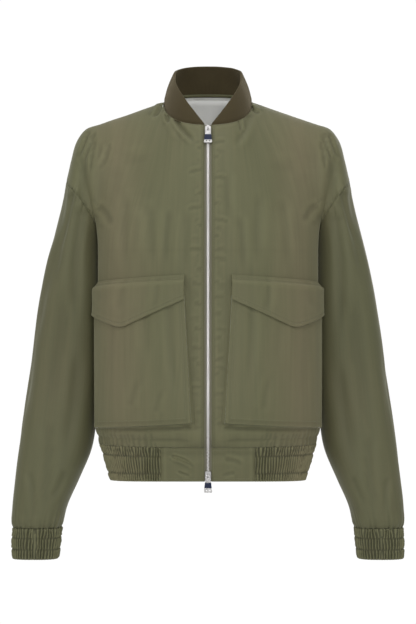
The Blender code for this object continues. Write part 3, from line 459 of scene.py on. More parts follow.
SLEEVE = named(
    Section,
    (-0.330, 0.2775, 0.1765, 0.026, 0.0780),
    (-0.400, 0.2890, 0.1770, 0.030, 0.0740),
    (-0.460, 0.2965, 0.1790, 0.030, 0.0720),
    (-0.520, 0.3055, 0.1850, 0.024, 0.0700),
    (-0.576, 0.3127, 0.1935, 0.014, 0.0660),
    (-0.625, 0.3176, 0.2137, 0.004, 0.0600),
    (-0.670, 0.3212, 0.2330, -0.006, 0.0500),
    (-0.690, 0.3215, 0.2380, -0.010, 0.0440),
    (-0.700, 0.3195, 0.2410, -0.011, 0.0385),
)
CUFF = named(
    Section,
    (-0.7003, 0.3195, 0.2410, -0.011, 0.0380),
    (-0.726, 0.3205, 0.2432, -0.014, 0.0350),
    (-0.751, 0.3193, 0.2460, -0.016, 0.0330),
)
print("body rows", len(BODY), "sleeve sections", len(SLEEVE))

# %% [markdown]
# ## Curves and rings
# The body is a stack of squared ovals. Above the underarm each column of a panel is a cubic
# that ends on the neckline or the shoulder.


# %% Curves, rings and lengths
def hermite(start, end, leave, arrive, along):
    """(2t3-3t2+1) start + (t3-2t2+t) leave + (3t2-2t3) end + (t3-t2) arrive."""
    t = along
    return (
        (2 * t**3 - 3 * t**2 + 1) * start
        + (t**3 - 2 * t**2 + t) * leave
        + (3 * t**2 - 2 * t**3) * end
        + (t**3 - t**2) * arrive
    )


def smooth(share):
    """3t2 - 2t3, with t held between 0 and 1."""
    t = np.clip(share, 0, 1)
    return t * t * (3 - 2 * t)


def read_off(rows, key, value, at):
    """A table's value at places along its key: cubics through its rows with even slopes."""
    x = np.array([getattr(row, key) for row in rows])
    y = np.array([getattr(row, value) for row in rows])
    order = np.argsort(x)
    x, y = x[order], y[order]
    slope = np.gradient(y, x)
    i = np.clip(np.searchsorted(x, at, side="right") - 1, 0, len(x) - 2)
    step = x[i + 1] - x[i]
    share = np.clip((at - x[i]) / step, 0, 1)
    return hermite(y[i], y[i + 1], slope[i] * step, slope[i + 1] * step, share)


def runs(lines):
    """The length from each line's start to each of its points."""
    steps = np.linalg.norm(np.diff(lines, axis=1), axis=-1)
    return np.concatenate([np.zeros((len(lines), 1)), np.cumsum(steps, axis=1)], axis=1)


def places_along(lines, lengths):
    """The points at these lengths along each polyline, between its two nearest points."""
    run = runs(lines)
    index = (run[:, None, :] <= lengths[:, :, None]).sum(-1) - 1
    index = np.clip(index, 0, lines.shape[1] - 2)
    row = np.arange(len(lines))[:, None]
    share = (lengths - run[row, index]) / (run[row, index + 1] - run[row, index])
    share = share[..., None]
    return lines[row, index] * (1 - share) + lines[row, index + 1] * share


def apart(grid, edge):
    """The distance of each point from the edge's point in its row or column."""
    return np.linalg.norm(grid - edge, axis=-1)


def looped(grid, wraps=True):
    """The grid with its first column again after its last, where it closes on itself."""
    return np.concatenate([grid, grid[:, :1]], axis=1) if wraps else grid


def powered(value, power):
    """|v|^power with the sign of v."""
    return np.sign(value) * np.abs(value) ** power


def ring(height, turn):
    """The body's outer face. x = w sgn(s)|s|^(2/n), y = side - d sgn(c)|c|^(2/n), with s
    and c the turn's sine and cosine; the sides draw in behind the front."""
    height, turn = np.broadcast_arrays(np.asarray(height, float), np.asarray(turn, float))
    half_width, front, back = (
        read_off(BODY, "height", name, height) for name in Girth._fields[1:]
    )
    across = powered(np.sin(turn * math.pi / 2), 2 / SQUARE)
    ahead = powered(np.cos(turn * math.pi / 2), 2 / SQUARE)
    y = SIDE_Y - ahead * np.where(ahead > 0, front + SIDE_Y, back - SIDE_Y)
    x = across * (half_width - TUCK * smooth((y - TUCK_FROM_Y) / (SIDE_Y - TUCK_FROM_Y)))
    return np.stack([x, y, height], axis=-1)


def neckline(share, front):
    """A squared quarter oval from its centre (0) to the shoulder (1)."""
    across = np.sin(share * math.pi / 2) ** (2 / NECK_SQUARE)
    ahead = np.cos(share * math.pi / 2) ** (2 / NECK_SQUARE)
    reach, rise = (-NECK_FRONT, -NECK_DROP) if front else (NECK_BACK, NECK_RISE)
    return np.stack(
        [NECK_WIDTH * across, NECK_Y + reach * ahead, NECK_Z + rise * ahead], axis=-1
    )


def shoulder_line():
    """Close points along the shoulder seam: the table's rows, read by their length."""
    table = np.array(SHOULDER)
    steps = np.linalg.norm(np.diff(table, axis=0), axis=1)
    Along = namedtuple("Along", "run x y z")
    rows = [Along(run, *row) for run, row in zip(np.concatenate([[0], np.cumsum(steps)]), table)]
    run = np.linspace(0, rows[-1].run, 400)
    return np.stack([read_off(rows, "run", axis, run) for axis in "xyz"], axis=-1)


def spread(line, count):
    """So many even steps along one polyline."""
    total = runs(line[None])[0, -1]
    return places_along(line[None], np.linspace(0, total, count + 1)[None])[0]


def units(vectors):
    return vectors / np.maximum(np.linalg.norm(vectors, axis=-1, keepdims=True), 1e-12)


def normals(grid, outward):
    """Cross products of the grid's two slopes, turned to the side that outward says."""
    normal = units(np.cross(np.gradient(grid, axis=1), np.gradient(grid, axis=0)))
    middle = tuple(n // 2 for n in grid.shape[:2])
    return -normal if np.dot(normal[middle], outward) < 0 else normal


def around_normals(grid):
    """The same for a grid whose columns close on themselves, away from its middle."""
    wide = np.concatenate([grid[:, -1:], looped(grid)], axis=1)
    normal = units(np.cross(wide[:, 2:] - wide[:, :-2], np.gradient(grid, axis=0)))
    outward = grid - grid.mean(axis=1, keepdims=True)
    return -normal if (normal * outward).sum() < 0 else normal


def agree(*edges):
    """Gives edges that are sewn together the same normals."""
    total = units(sum(np.array(edge) for edge in edges))
    for edge in edges:
        edge[...] = total


print("waist", [round(float(v), 3) for v in ring(HEM_SEAM_Z, 1.0)])

# %% [markdown]
# ## Turning a grid into cloth
# A piece is a grid of points: its outer face, and the same grid moved in along its normals
# for its inner face, joined by a rim. Its UV map gives the place on the flat cloth in metres.


# %% Walls of cloth
def cloth_map(grid, wraps=False):
    """The flat place of each point: u is the length across at mid height, and v the length
    up at the middle column."""
    rows, columns = grid.shape[:2]
    across = runs(looped(grid, wraps)[rows // 2][None])[0]
    up = runs(grid[:, columns // 2][None])[0]
    return np.stack(np.meshgrid(across, up), axis=-1)


# How far round and how deep the sunken places are measured, for the painted shade
HOLLOWS = ((0.0013, 0.00035), (0.0050, 0.00075))  # reach and depth, in metres


def hollows(outer, inner, wraps):
    """How sunken each point is: the mean of its four neighbours at a reach, less the point,
    measured outward over a depth, summed for a short and a long reach and held in -1..1."""
    facing = units(outer - inner)
    total = np.zeros(outer.shape[:2])
    for reach, depth in HOLLOWS:
        for axis in (0, 1):
            step = np.linalg.norm(np.diff(outer, axis=axis), axis=-1).mean()
            count = int(np.clip(round(reach / step), 1, outer.shape[axis] // 2))
            pad = [(0, 0)] * 3
            pad[axis] = (count, count)
            wide = np.pad(outer, pad, mode="wrap" if wraps and axis else "edge")
            size = outer.shape[axis]
            before = np.take(wide, np.arange(size), axis=axis)
            after = np.take(wide, np.arange(size) + 2 * count, axis=axis)
            rise = ((before + after) / 2 - outer) * facing
            inside = (np.arange(size) >= count) & (np.arange(size) < size - count)
            inside = inside | (wraps and axis == 1)
            total += rise.sum(-1) / depth * (inside[:, None] if axis == 0 else inside)
    return np.clip(total, -1, 1)


def outward(points, faces):
    """The quads of solids (n, quads, 4), turned over where a solid's volume is negative."""
    a, b, c, d = (points[faces[..., corner]] for corner in range(4))
    volume = (a * (np.cross(b, c) + np.cross(c, d))).sum((1, 2))
    return np.where((volume > 0)[:, None, None], faces, faces[..., ::-1])


def build(name, points, faces, corner_places, finishes, slots, flat):
    """An object of these points and quads, with its UV map and finishes. Faces are smooth
    but for the flat ones."""
    mesh = bpy.data.meshes.new(name)
    mesh.from_pydata(points.tolist(), [], faces.tolist())
    uv = mesh.uv_layers.new(name="cloth")
    uv.data.foreach_set("uv", corner_places.reshape(-1).astype(np.float32))
    for finish in finishes:
        mesh.materials.append(finish)
    mesh.polygons.foreach_set("material_index", slots.astype(np.int32))
    mesh.polygons.foreach_set("use_smooth", ~flat)
    mesh.update()
    print(f"{name}: {2 * len(faces)} triangles")
    return put(name, mesh)


def wall(name, outer, inner, finishes, wraps=False, side=1, places=None, shaded=0.22):
    """A closed wall between two grids. The first finish covers the outer face and rims, the
    last one the inner face. Side -1 makes the mirror image. Shaded is the strength of the painted
    shade in its hollows and the painted highlight on its ridges, which the weave paints into its
    colour."""
    rows, columns = outer.shape[:2]
    points = np.concatenate([outer.reshape(-1, 3), inner.reshape(-1, 3)]) * [side, 1, 1]
    index = looped(np.arange(rows * columns).reshape(rows, columns), wraps)
    under = index + rows * columns
    places = cloth_map(outer, wraps) if places is None else places

    def quads(a):
        return np.stack([a[:-1, :-1], a[:-1, 1:], a[1:, 1:], a[1:, :-1]], axis=2)

    def edge(over, below, where, backwards):
        a, b = (over[1:], over[:-1]) if backwards else (over[:-1], over[1:])
        c, d = (below[:-1], below[1:]) if backwards else (below[1:], below[:-1])
        spots = (where[1:], where[:-1]) if backwards else (where[:-1], where[1:])
        return np.stack([a, b, c, d], axis=1), np.stack([*spots, *spots[::-1]], axis=1)

    face = quads(index).reshape(-1, 4)
    back = quads(under).reshape(-1, 4)[:, ::-1]
    spots = quads(places).reshape(-1, 4, 2)
    pieces = [(face, spots), (back, spots[:, ::-1])]
    pieces.append(edge(index[0], under[0], places[0], True))
    pieces.append(edge(index[-1], under[-1], places[-1], False))
    if not wraps:
        pieces.append(edge(index[:, 0], under[:, 0], places[:, 0], False))
        pieces.append(edge(index[:, -1], under[:, -1], places[:, -1], True))
    faces, corner_places = (np.concatenate(part) for part in zip(*pieces))
    slots = np.zeros(len(faces), int)
    slots[len(face) : 2 * len(face)] = len(finishes) - 1
    flat = np.arange(len(faces)) >= 2 * len(face)
    turned = outward(points, faces[None])[0]
    if turned[0, 0] != faces[0, 0]:
        corner_places = corner_places[:, ::-1]
    thing = build(name, points, turned, corner_places, finishes, slots, flat)
    # Painted shade: how sunken each point is, which the weave paints darker
    sunken = thing.data.attributes.new("painted_hollow_shade", "FLOAT", "POINT")
    depths = shaded * hollows(outer, inner, wraps).reshape(-1)
    sunken.data.foreach_set("value", np.tile(depths, 2).astype(np.float32))
    return thing


def surface_area(grid, wraps=False):
    """The sum of the grid's cells, each half the cross product of its diagonals."""
    grid = looped(grid, wraps)
    first = grid[1:, 1:] - grid[:-1, :-1]
    second = grid[:-1, 1:] - grid[1:, :-1]
    return float(np.linalg.norm(np.cross(first, second), axis=-1).sum() / 2)


# %% [markdown]
# ## Creases, one by one
# Cloth folds where it is held: at the neck, the shoulder's tip, the zip and the armhole. Each
# crease is a soft trough with a low roll of cloth beside it, placed by its two ends as seen
# from the front, the back or the side. Left and right have their own, uneven ones.

# %% Pressing creases into a grid
Crease = namedtuple("Crease", "view x0 z0 x1 z1 bow width depth start roll", defaults=(0, 0.5))
VIEWS = {"front": (0, 2, 1, -1), "back": (0, 2, 1, 1), "side": (1, 2, 0, 1)}
CREASE_STEPS = 8
PRESSED = 1.7  # times the depth that a crease states
FADE_IN, FADE_OUT = 0.22, 0.40  # shares of a crease's length
WIDE_CRINKLE, FINE_CRINKLE = 0.00022, 0.00007


def crease_path(crease):
    """Close points from one end to the other, bowed sideways by bow in the middle."""
    t = np.linspace(0, 1, CREASE_STEPS + 1)[:, None]
    start = np.array([crease.x0, crease.z0]) / 1000
    end = np.array([crease.x1, crease.z1]) / 1000
    aside = np.array([-(end - start)[1], (end - start)[0]])
    aside = aside / np.linalg.norm(aside) * crease.bow / 1000
    return start + (end - start) * t + aside * 4 * t * (1 - t)


def pressed(grid, normal, creases):
    """How deep the creases press each point. Across a crease, with t the distance in its
    widths, the depth is exp(-t2) less a roll beside it of exp(-(t-1.7)2); both fade out
    towards its ends and where the cloth turns away from the crease's view."""
    depth = np.zeros(grid.shape[:2])
    for crease in creases:
        first, second, facing, sign = VIEWS[crease.view]
        faces = smooth(normal[..., facing] * sign / 0.35)
        path = crease_path(crease)
        width = crease.width / 1000
        reach = 3.2 * width
        flat = grid[..., [first, second]]
        near = (
            (faces > 0)
            & np.all(flat > path.min(0) - reach, axis=-1)
            & np.all(flat < path.max(0) + reach, axis=-1)
        )
        if not near.any():
            continue
        place = flat[near][:, None]
        run = np.diff(path, axis=0)
        length = np.linalg.norm(run, axis=1)
        way = run / length[:, None]
        offset = place - path[:-1]
        along = np.clip((offset * way).sum(-1), 0, length)
        apart = offset - along[..., None] * way
        nearest = np.linalg.norm(apart, axis=-1).argmin(1)
        pick = np.arange(len(place)), nearest
        side = way[nearest, 0] * offset[pick][:, 1] - way[nearest, 1] * offset[pick][:, 0]
        away = np.linalg.norm(apart[pick], axis=-1) * np.sign(side) / width
        share = (nearest + along[pick] / length[nearest]) / CREASE_STEPS
        fade = smooth((1 - share) / FADE_OUT)
        if not crease.start:
            fade = fade * smooth(share / FADE_IN)
        form = np.exp(-(away**2)) - crease.roll * np.exp(-((away - 1.7) ** 2))
        depth[near] += PRESSED * crease.depth / 1000 * form * fade * faces[near]
    return depth


def uneven(length, pitch, seed):
    """A wave of about this pitch, whose length and height wander: (0.62 + 0.26 sin + 0.14
    sin) cos(2 pi length / pitch + 1.4 sin + 0.9 sin)."""
    turn = 2 * math.pi * length / pitch
    phase = turn + 1.4 * np.sin(turn / 5.3 + seed) + 0.9 * np.sin(turn / 2.7 + 2.1 * seed)
    height = 0.62 + 0.26 * np.sin(turn / 3.7 + 1.7 * seed) + 0.14 * np.sin(turn / 8.9 + seed)
    return height * np.cos(phase)


def crinkled(across, up, seed):
    """Long faint folds down the grain: waves across it that wander slowly with height."""
    drift = 0.012 * np.sin(up * 9 + seed) + 0.007 * np.sin(up * 23 + 2 * seed)
    wide = uneven(across + drift, 0.034, seed)
    wide = wide * (0.6 + 0.4 * np.sin(up * 14 + 3 * seed + 40 * across))
    fine = uneven(across + 0.4 * drift, 0.011, seed + 2)
    fine = fine * (0.5 + 0.5 * np.sin(up * 31 + across * 60))
    return WIDE_CRINKLE * wide + FINE_CRINKLE * fine


def seam_dip(distance, depth=0.0007, reach=0.0030):
    """A sewn edge: cloth sinks into the seam over its last few millimetres, and rises a
    little over the allowance beyond."""
    t = distance / reach
    return depth * np.exp(-(t**2)) - 0.35 * depth * np.exp(-((t - 2.1) ** 2))


print("views", list(VIEWS))

# %% [markdown]
# ## Fronts, back and sleeves
# The panels share their seam lines and the way they face there, so that they meet flush.


# %% The panels' plain grids
LOWER_ROWS, UPPER_ROWS = 92, 80
EASE_ROUNDS = 30
PANEL_STEPS = 6  # fine columns for each of the solid's columns
ROWS_CLOSER = 1.25
SLEEVE_ROWS = 170
CLOSE_POINTS = 300


def top_line(front):
    """A panel's upper edge: its part of the neckline, then the shoulder."""
    dense = neckline(np.linspace(0, 1, 1200), front)
    neck_columns = 7 if front else 5
    if front:
        dense = dense[dense[:, 0] >= FRONT_EDGE]
        dense[0, 0] = FRONT_EDGE
    neck = spread(dense, neck_columns * PANEL_STEPS)
    return np.concatenate([neck, spread(shoulder_line(), 7 * PANEL_STEPS)[1:]])


def panel_grid(front):
    """Rows from the waist seam to the neck and shoulder, columns from the centre out. Below
    the neck's corner each column is drawn towards its neighbours' mean, over and over."""
    top = top_line(front)
    share = np.linspace(0, 1, len(top))
    start = FRONT_EDGE if front else 0.0
    up = np.linspace(0, 1, LOWER_ROWS + 1) ** ROWS_CLOSER
    heights = HEM_SEAM_Z + (UNDERARM_Z - HEM_SEAM_Z) * up
    turns = np.linspace(0, 1, CLOSE_POINTS) if front else np.linspace(2, 1, CLOSE_POINTS)
    lines = ring(heights[:, None], turns[None])
    total = runs(lines)[:, -1:]
    lower = places_along(lines, start + (total - start) * share)
    table = FRONT_RISE if front else BACK_RISE
    ahead = -1 if front else 1
    leave = np.stack(
        [
            read_off(table, "across", "leave_out", share),
            ahead * read_off(table, "across", "leave_forward", share),
            read_off(table, "across", "leave_up", share),
        ],
        axis=-1,
    )
    arrive = np.stack(
        [
            np.zeros_like(share),
            -ahead * read_off(table, "across", "arrive_back", share),
            read_off(table, "across", "arrive_up", share),
        ],
        axis=-1,
    )
    rise = np.linspace(0, 1, UPPER_ROWS + 1)[1:, None, None]
    upper = hermite(lower[-1], top, leave, arrive, rise)
    ease = 0.5 * smooth((1 - rise) / 0.3) * smooth(rise / 0.6)
    for _ in range(EASE_ROUNDS):
        middle = (upper[:, :-2] + upper[:, 2:]) / 2
        upper[:, 1:-1] += ease * (middle - upper[:, 1:-1])
    return np.concatenate([lower, upper])


def section_rings(table, heights, turns):
    """Squarish ovals: x = (o+i)/2 - (o-i)/2 cos(a)^p, y = m - d sin(a)^p, with a the turn,
    and the powers keeping their signs."""
    height = np.asarray(heights, float)[:, None]
    outer, inner, middle_y, depth = (
        read_off(table, "height", name, height) for name in Section._fields[1:]
    )
    angle = 2 * math.pi * turns[None]
    x = (outer + inner) / 2 - (outer - inner) / 2 * powered(np.cos(angle), SLEEVE_POWER)
    y = middle_y - depth * powered(np.sin(angle), SLEEVE_POWER)
    return np.stack([x, y, np.broadcast_to(height, x.shape)], axis=-1)


def sleeve_grid(armhole):
    """From the armhole down to the cuff; columns go round from the underarm."""
    columns = len(armhole)
    turns = np.arange(columns) / columns
    top = SLEEVE[0].height
    first, below = section_rings(SLEEVE, (top, top - 0.02), turns)
    drop = np.linalg.norm(first - armhole, axis=-1, keepdims=True)
    arrive = (below - first) / 0.02 * drop
    leave = np.array([SLEEVE_FLARE, 0, -1]) * drop
    cap_rows = round(SLEEVE_ROWS * CAP_SHARE)
    steps = np.linspace(0, 1, cap_rows + 1)[:, None, None]
    cap = hermite(armhole, first, leave, arrive, steps)
    share = np.linspace(0, 1, SLEEVE_ROWS - cap_rows + 1)[1:]
    heights = top + (SLEEVE_SEAM_Z - top) * (1 - (1 - share) ** 1.2)
    return np.concatenate([cap, section_rings(SLEEVE, heights, turns)])


FRONT, BACK = panel_grid(True), panel_grid(False)
FRONT_FACING = normals(FRONT, (0, -1, 0))
BACK_FACING = normals(BACK, (0, 1, 0))
BACK_FACING[:, 0, 0] = 0
BACK_FACING[:, 0] = units(BACK_FACING[:, 0])
SEAM, UPPER = slice(0, LOWER_ROWS + 1), slice(LOWER_ROWS, None)
FRONT_NECK, BACK_NECK = 7 * PANEL_STEPS, 5 * PANEL_STEPS
agree(FRONT_FACING[SEAM, -1], BACK_FACING[SEAM, -1])
agree(FRONT_FACING[-1, FRONT_NECK:], BACK_FACING[-1, BACK_NECK:])
ARMHOLE = np.concatenate([FRONT[UPPER, -1], BACK[UPPER, -1][::-1][1:-1]])
SLEEVE_GRID = sleeve_grid(ARMHOLE)
SLEEVE_FACING = around_normals(SLEEVE_GRID)
agree(FRONT_FACING[UPPER, -1], SLEEVE_FACING[0, : UPPER_ROWS + 1])
agree(BACK_FACING[LOWER_ROWS + 1 : -1, -1][::-1], SLEEVE_FACING[0, UPPER_ROWS + 1 :])
BACK_FACING[LOWER_ROWS, -1] = FRONT_FACING[LOWER_ROWS, -1]
BACK_FACING[-1, -1] = FRONT_FACING[-1, -1]
print("front", FRONT.shape, "back half", BACK.shape, "sleeve", SLEEVE_GRID.shape)

# %% Main creases of every piece, in millimetres
def seen_from(**views):
    """Each row gives x0, z0, x1, z1, bow, width and depth in millimetres, and may give
    start, 1 where the crease is deep from its first end on, and roll."""
    return [Crease(view, *row) for view, rows in views.items() for row in rows]


CREASES = {
    "front_right": seen_from(
        front=[
            (-77, -8, -91, -31, 2, 3.2, 3.2, 1), (-67, -28, -64, -44, 0, 2.8, 2.0, 1),
            (-52, -36, -19, -76, -3, 3.8, 2.8, 1), (-60, -33, -42, -72, 2, 6.0, 1.0, 1),
            (-200, -200, -205, -66, 3, 11.0, 4.4, 0, 0.5), (-187, -50, -206, -104, 3, 3.2, 2.2),
            (-194, -46, -216, -96, 2, 2.8, 1.8), (-184, -60, -190, -130, -2, 3.6, 1.6),
            (-120, -80, -90, -200, -5, 22.0, 1.2), (-150, -90, -146, -270, 3, 13.0, 0.9),
            (-128, -150, -132, -292, -3, 8.0, 0.9), (-96, -170, -88, -284, 3, 9.0, 0.9),
            (-60, -180, -66, -282, -2, 7.0, 0.7), (-34, -180, -38, -300, 2, 8.0, 0.6),
            (-172, -180, -158, -212, 4, 6.0, 1.2, 1), (-160, -70, -176, -120, 3, 4.0, 0.9),
            (-30, -529, -176, -537, 0, 3.0, 1.7, 1, 0.1),
        ],
    ),
    "front_left": seen_from(
        front=[
            (72, -14, 86, -22, -2, 3.0, 2.6, 1), (50, -40, 53, -58, 1, 2.8, 1.6, 1),
            (66, -30, 40, -84, 4, 6.0, 1.1, 1), (199, -200, 205, -66, -3, 11.0, 4.2, 0, 0.5),
            (189, -50, 204, -100, -3, 3.2, 2.0), (197, -48, 217, -98, -2, 2.8, 1.6),
            (184, -64, 189, -122, 2, 3.6, 1.5), (125, -90, 100, -220, 5, 22.0, 1.2),
            (152, -100, 148, -272, -3, 13.0, 0.8), (118, -160, 124, -286, 2, 8.0, 0.8),
            (82, -150, 78, -278, -3, 9.0, 0.9), (48, -190, 54, -290, 2, 7.0, 0.7),
            (30, -120, 34, -210, -2, 7.0, 0.7), (170, -178, 158, -206, -4, 6.0, 1.1, 1),
            (30, -529, 176, -537, 0, 3.0, 1.7, 1, 0.1),
        ],
    ),
    "back": seen_from(
        back=[
            (-150, -70, -60, -190, 10, 14.0, 2.4), (156, -64, 70, -176, -10, 14.0, 2.2),
            (-168, -150, -120, -330, 8, 16.0, 2.4), (166, -160, 116, -350, -8, 16.0, 2.6),
            (-58, -140, -66, -400, 6, 20.0, 1.6), (40, -170, 52, -430, -6, 22.0, 1.6),
            (-110, -300, -126, -520, -6, 14.0, 1.8), (112, -320, 122, -530, 5, 14.0, 1.7),
            (-6, -260, -12, -500, 3, 12.0, 1.0), (-74, -6, -88, -36, -2, 3.6, 1.6, 1),
            (76, -8, 88, -40, 2, 3.6, 1.5, 1), (-30, 12, -38, -20, 1, 4.0, 0.8, 1),
            (26, 12, 36, -22, -1, 4.0, 0.8, 1),
        ],
    ),
    "sleeve_right": seen_from(
        front=[
            (-222, -160, -246, -250, 4, 5.0, 1.6, 1), (-238, -160, -262, -330, 6, 9.0, 2.2, 1),
            (-206, -190, -214, -380, -5, 9.0, 1.8, 1), (-232, -300, -268, -520, 8, 13.0, 1.8),
            (-212, -400, -240, -600, 8, 12.0, 1.6), (-286, -380, -296, -560, -3, 8.0, 1.1),
            (-258, -520, -268, -680, 4, 9.0, 1.5), (-228, -600, -262, -660, 4, 7.0, 1.4),
            (-290, -600, -282, -690, 3, 6.0, 1.1),
        ],
        back=[
            (-230, -180, -262, -360, 8, 12.0, 2.2, 1), (-206, -260, -244, -470, 8, 14.0, 2.4),
            (-262, -430, -280, -640, 6, 12.0, 2.0), (-236, -560, -270, -670, 5, 9.0, 1.6),
        ],
        side=[
            (40, -220, 10, -420, 8, 14.0, 2.0), (0, -420, -16, -640, 6, 12.0, 1.8),
        ],
    ),
    "sleeve_left": seen_from(
        front=[
            (220, -156, 244, -240, -4, 5.0, 1.5, 1), (236, -160, 262, -320, -6, 9.0, 2.1, 1),
            (208, -200, 212, -400, 5, 9.0, 1.8, 1), (236, -320, 270, -540, -8, 13.0, 1.8),
            (214, -420, 244, -610, -8, 12.0, 1.5), (286, -400, 298, -580, 3, 8.0, 1.0),
            (262, -540, 270, -684, -4, 9.0, 1.4), (232, -610, 262, -668, -4, 7.0, 1.3),
            (292, -610, 286, -692, -3, 6.0, 1.0),
        ],
        back=[
            (232, -190, 262, -380, -8, 12.0, 2.2, 1), (208, -280, 246, -480, -8, 14.0, 2.2),
            (264, -440, 282, -650, -6, 12.0, 2.0), (238, -570, 272, -676, -5, 9.0, 1.5),
        ],
        side=[
            (44, -230, 14, -430, 8, 14.0, 1.9), (4, -430, -14, -650, 6, 12.0, 1.8),
        ],
    ),
    "hem_tab_right": seen_from(
        front=[
            (-60, -576, -22, -592, 3, 2.2, 1.7, 0, 0.7), (-48, -600, -27, -606, -1, 1.8, 0.9),
        ],
    ),
    "hem_tab_left": seen_from(
        front=[
            (24, -580, 58, -590, 2, 4.0, 0.6), (44, -602, 20, -607, -1, 3.0, 0.4),
        ],
    ),
    "pocket_left": seen_from(
        front=[
            (66, -332, 58, -470, 3, 7.0, 0.7, 1), (112, -345, 104, -440, -2, 8.0, 0.6, 1),
            (150, -350, 140, -500, 3, 9.0, 0.7, 1), (84, -505, 96, -440, 1, 6.0, 0.5),
        ],
    ),
    "pocket_right": seen_from(
        front=[
            (-58, -345, -48, -480, -2, 7.0, 0.7, 1), (-96, -350, -92, -425, 2, 8.0, 0.6, 1),
            (-140, -345, -150, -470, -3, 8.0, 0.7, 1), (-120, -500, -104, -450, 1, 6.0, 0.5),
            (-80, -508, -70, -466, 1, 5.0, 0.4),
        ],
    ),
    "flap_left": seen_from(
        front=[
            (92, -300, 84, -352, 2, 6.0, 0.5, 1), (150, -304, 158, -345, -2, 7.0, 0.5, 1),
        ],
    ),
    "flap_right": seen_from(
        front=[
            (-76, -300, -84, -356, 2, 6.0, 0.5, 1), (-128, -302, -134, -352, -1, 7.0, 0.5, 1),
            (-170, -306, -160, -336, 1, 6.0, 0.4, 1),
        ],
    ),
}


def creases_of(node):
    """A piece's creases. The right one's are mirrored, because each right piece is worked
    out on the left and mirrored by its wall."""
    rows = CREASES[node]
    if node.endswith("right"):
        rows = [row._replace(x0=-row.x0, x1=-row.x1, bow=-row.bow) for row in rows]
    return rows


print("creases", sum(len(rows) for rows in CREASES.values()))


# %% Fronts and back
TUCK_DEPTH = 0.0048  # how far the fronts sink above the waistband
PLEAT_PITCH = 0.0092  # of the gathers above the waistband
SIDES = (("left", 1), ("right", -1))
MIRROR = np.array([-1, 1, 1])
OUTER, PIECES = {}, {}


def dress(node, outer, inner, finishes, name=None, **options):
    """Builds the wall that stands for this node, and keeps its outer face."""
    OUTER[node] = outer
    PIECES[node] = wall(name or f"{node}_cloth", outer, inner, finishes, **options)


def pair(kind, form, seeds, finishes, **options):
    """The left piece and the right one. A form gives an outer and an inner face, and may
    give its own flat places."""
    for (word, side), seed in zip(SIDES, seeds):
        node = f"{kind}_{word}"
        outer, inner, places = (*form(node, seed), None)[:3]
        dress(node, outer, inner, finishes, side=side, places=places, **options)


def zip_puckers(count, seed):
    """Short creases that run out sideways from the zip, unevenly spaced down it, and
    shallower below the chest."""
    spots = np.arange(count)
    heights = -75 - 470 * (spots + 0.35 * np.sin(spots * 2.3 + seed)) / count
    lengths = 16 + 9 * np.sin(spots * 1.7 + seed)
    drops = 5 * np.sin(spots * 2.9 + seed)
    depths = (0.34 + 0.22 * np.sin(spots * 3.1 + 2 * seed)) * (
        0.6 + 0.4 * smooth((heights + 320) / 90)
    )
    rows = [
        (9, z, 9 + length, z + drop, 1, 3.2, depth, 1)
        for z, length, drop, depth in zip(heights, lengths, drops, depths)
    ]
    return seen_from(front=rows)


def waist_puckers(across, above, seed):
    """Small pleats that the elastic draws in, deepest at the seam and gone 45 mm above."""
    fade = np.exp(-((above / 0.018) ** 2)) + 0.35 * np.exp(-((above / 0.045) ** 2))
    return 0.0013 * uneven(across + 0.15 * above, PLEAT_PITCH, seed) * fade


def armhole_puckers(grid, seed):
    """Fine puckers that stand square to the armhole seam, in the outermost columns."""
    edge = grid[UPPER, -1]
    away = apart(grid[UPPER], edge[:, None])
    wave = 0.00042 * uneven(runs(edge[None])[0][:, None], 0.0105, seed)
    wave = wave * np.exp(-((away / 0.011) ** 2))
    return np.concatenate([np.zeros((LOWER_ROWS, grid.shape[1])), wave])


def clear_of_seams(grid):
    """0 on the top and side seams, so that the panels meet flush, and 1 from 4 mm inside."""
    away = np.ones(grid.shape[:2])
    for seam in (grid[-1:], grid[:, :1], grid[:, -1:]):
        away *= smooth(apart(grid, seam) / 0.004)
    return away


def front_form(node, seed):
    """A front, on the left: its creases, the waistband's pleats and the tuck above them, a
    flat edge with a groove beside the zip, and its seams."""
    across = cloth_map(FRONT)[..., 0]
    height = FRONT[..., 2]
    above = height - HEM_SEAM_Z
    creases = creases_of(node) + zip_puckers(30, seed)
    depth = pressed(FRONT, FRONT_FACING, creases) * clear_of_seams(FRONT)
    depth = depth - smooth((across - TAB_WIDTH) / 0.012) * waist_puckers(across, above, seed)
    depth = depth - crinkled(across, height, seed) - armhole_puckers(FRONT, seed)
    tucked = np.clip(np.minimum(above / 0.010, (0.032 - above) / 0.022), 0, 1)
    depth = depth + TUCK_DEPTH * tucked * smooth((across - 0.012) / 0.03)
    edge = apart(FRONT, FRONT[:, :1])
    depth *= smooth(edge / 0.006)
    depth += 0.0006 * np.exp(-(((edge - 0.0032) / 0.0009) ** 2))
    depth += seam_dip(above, 0.0003)
    depth += seam_dip(apart(FRONT, FRONT[:, -1:]), 0.0003, 0.0022)
    depth += seam_dip(apart(FRONT, FRONT[-1:]), 0.0005)
    outer = FRONT - FRONT_FACING * depth[..., None]
    return outer, outer - FRONT_FACING * CLOTH


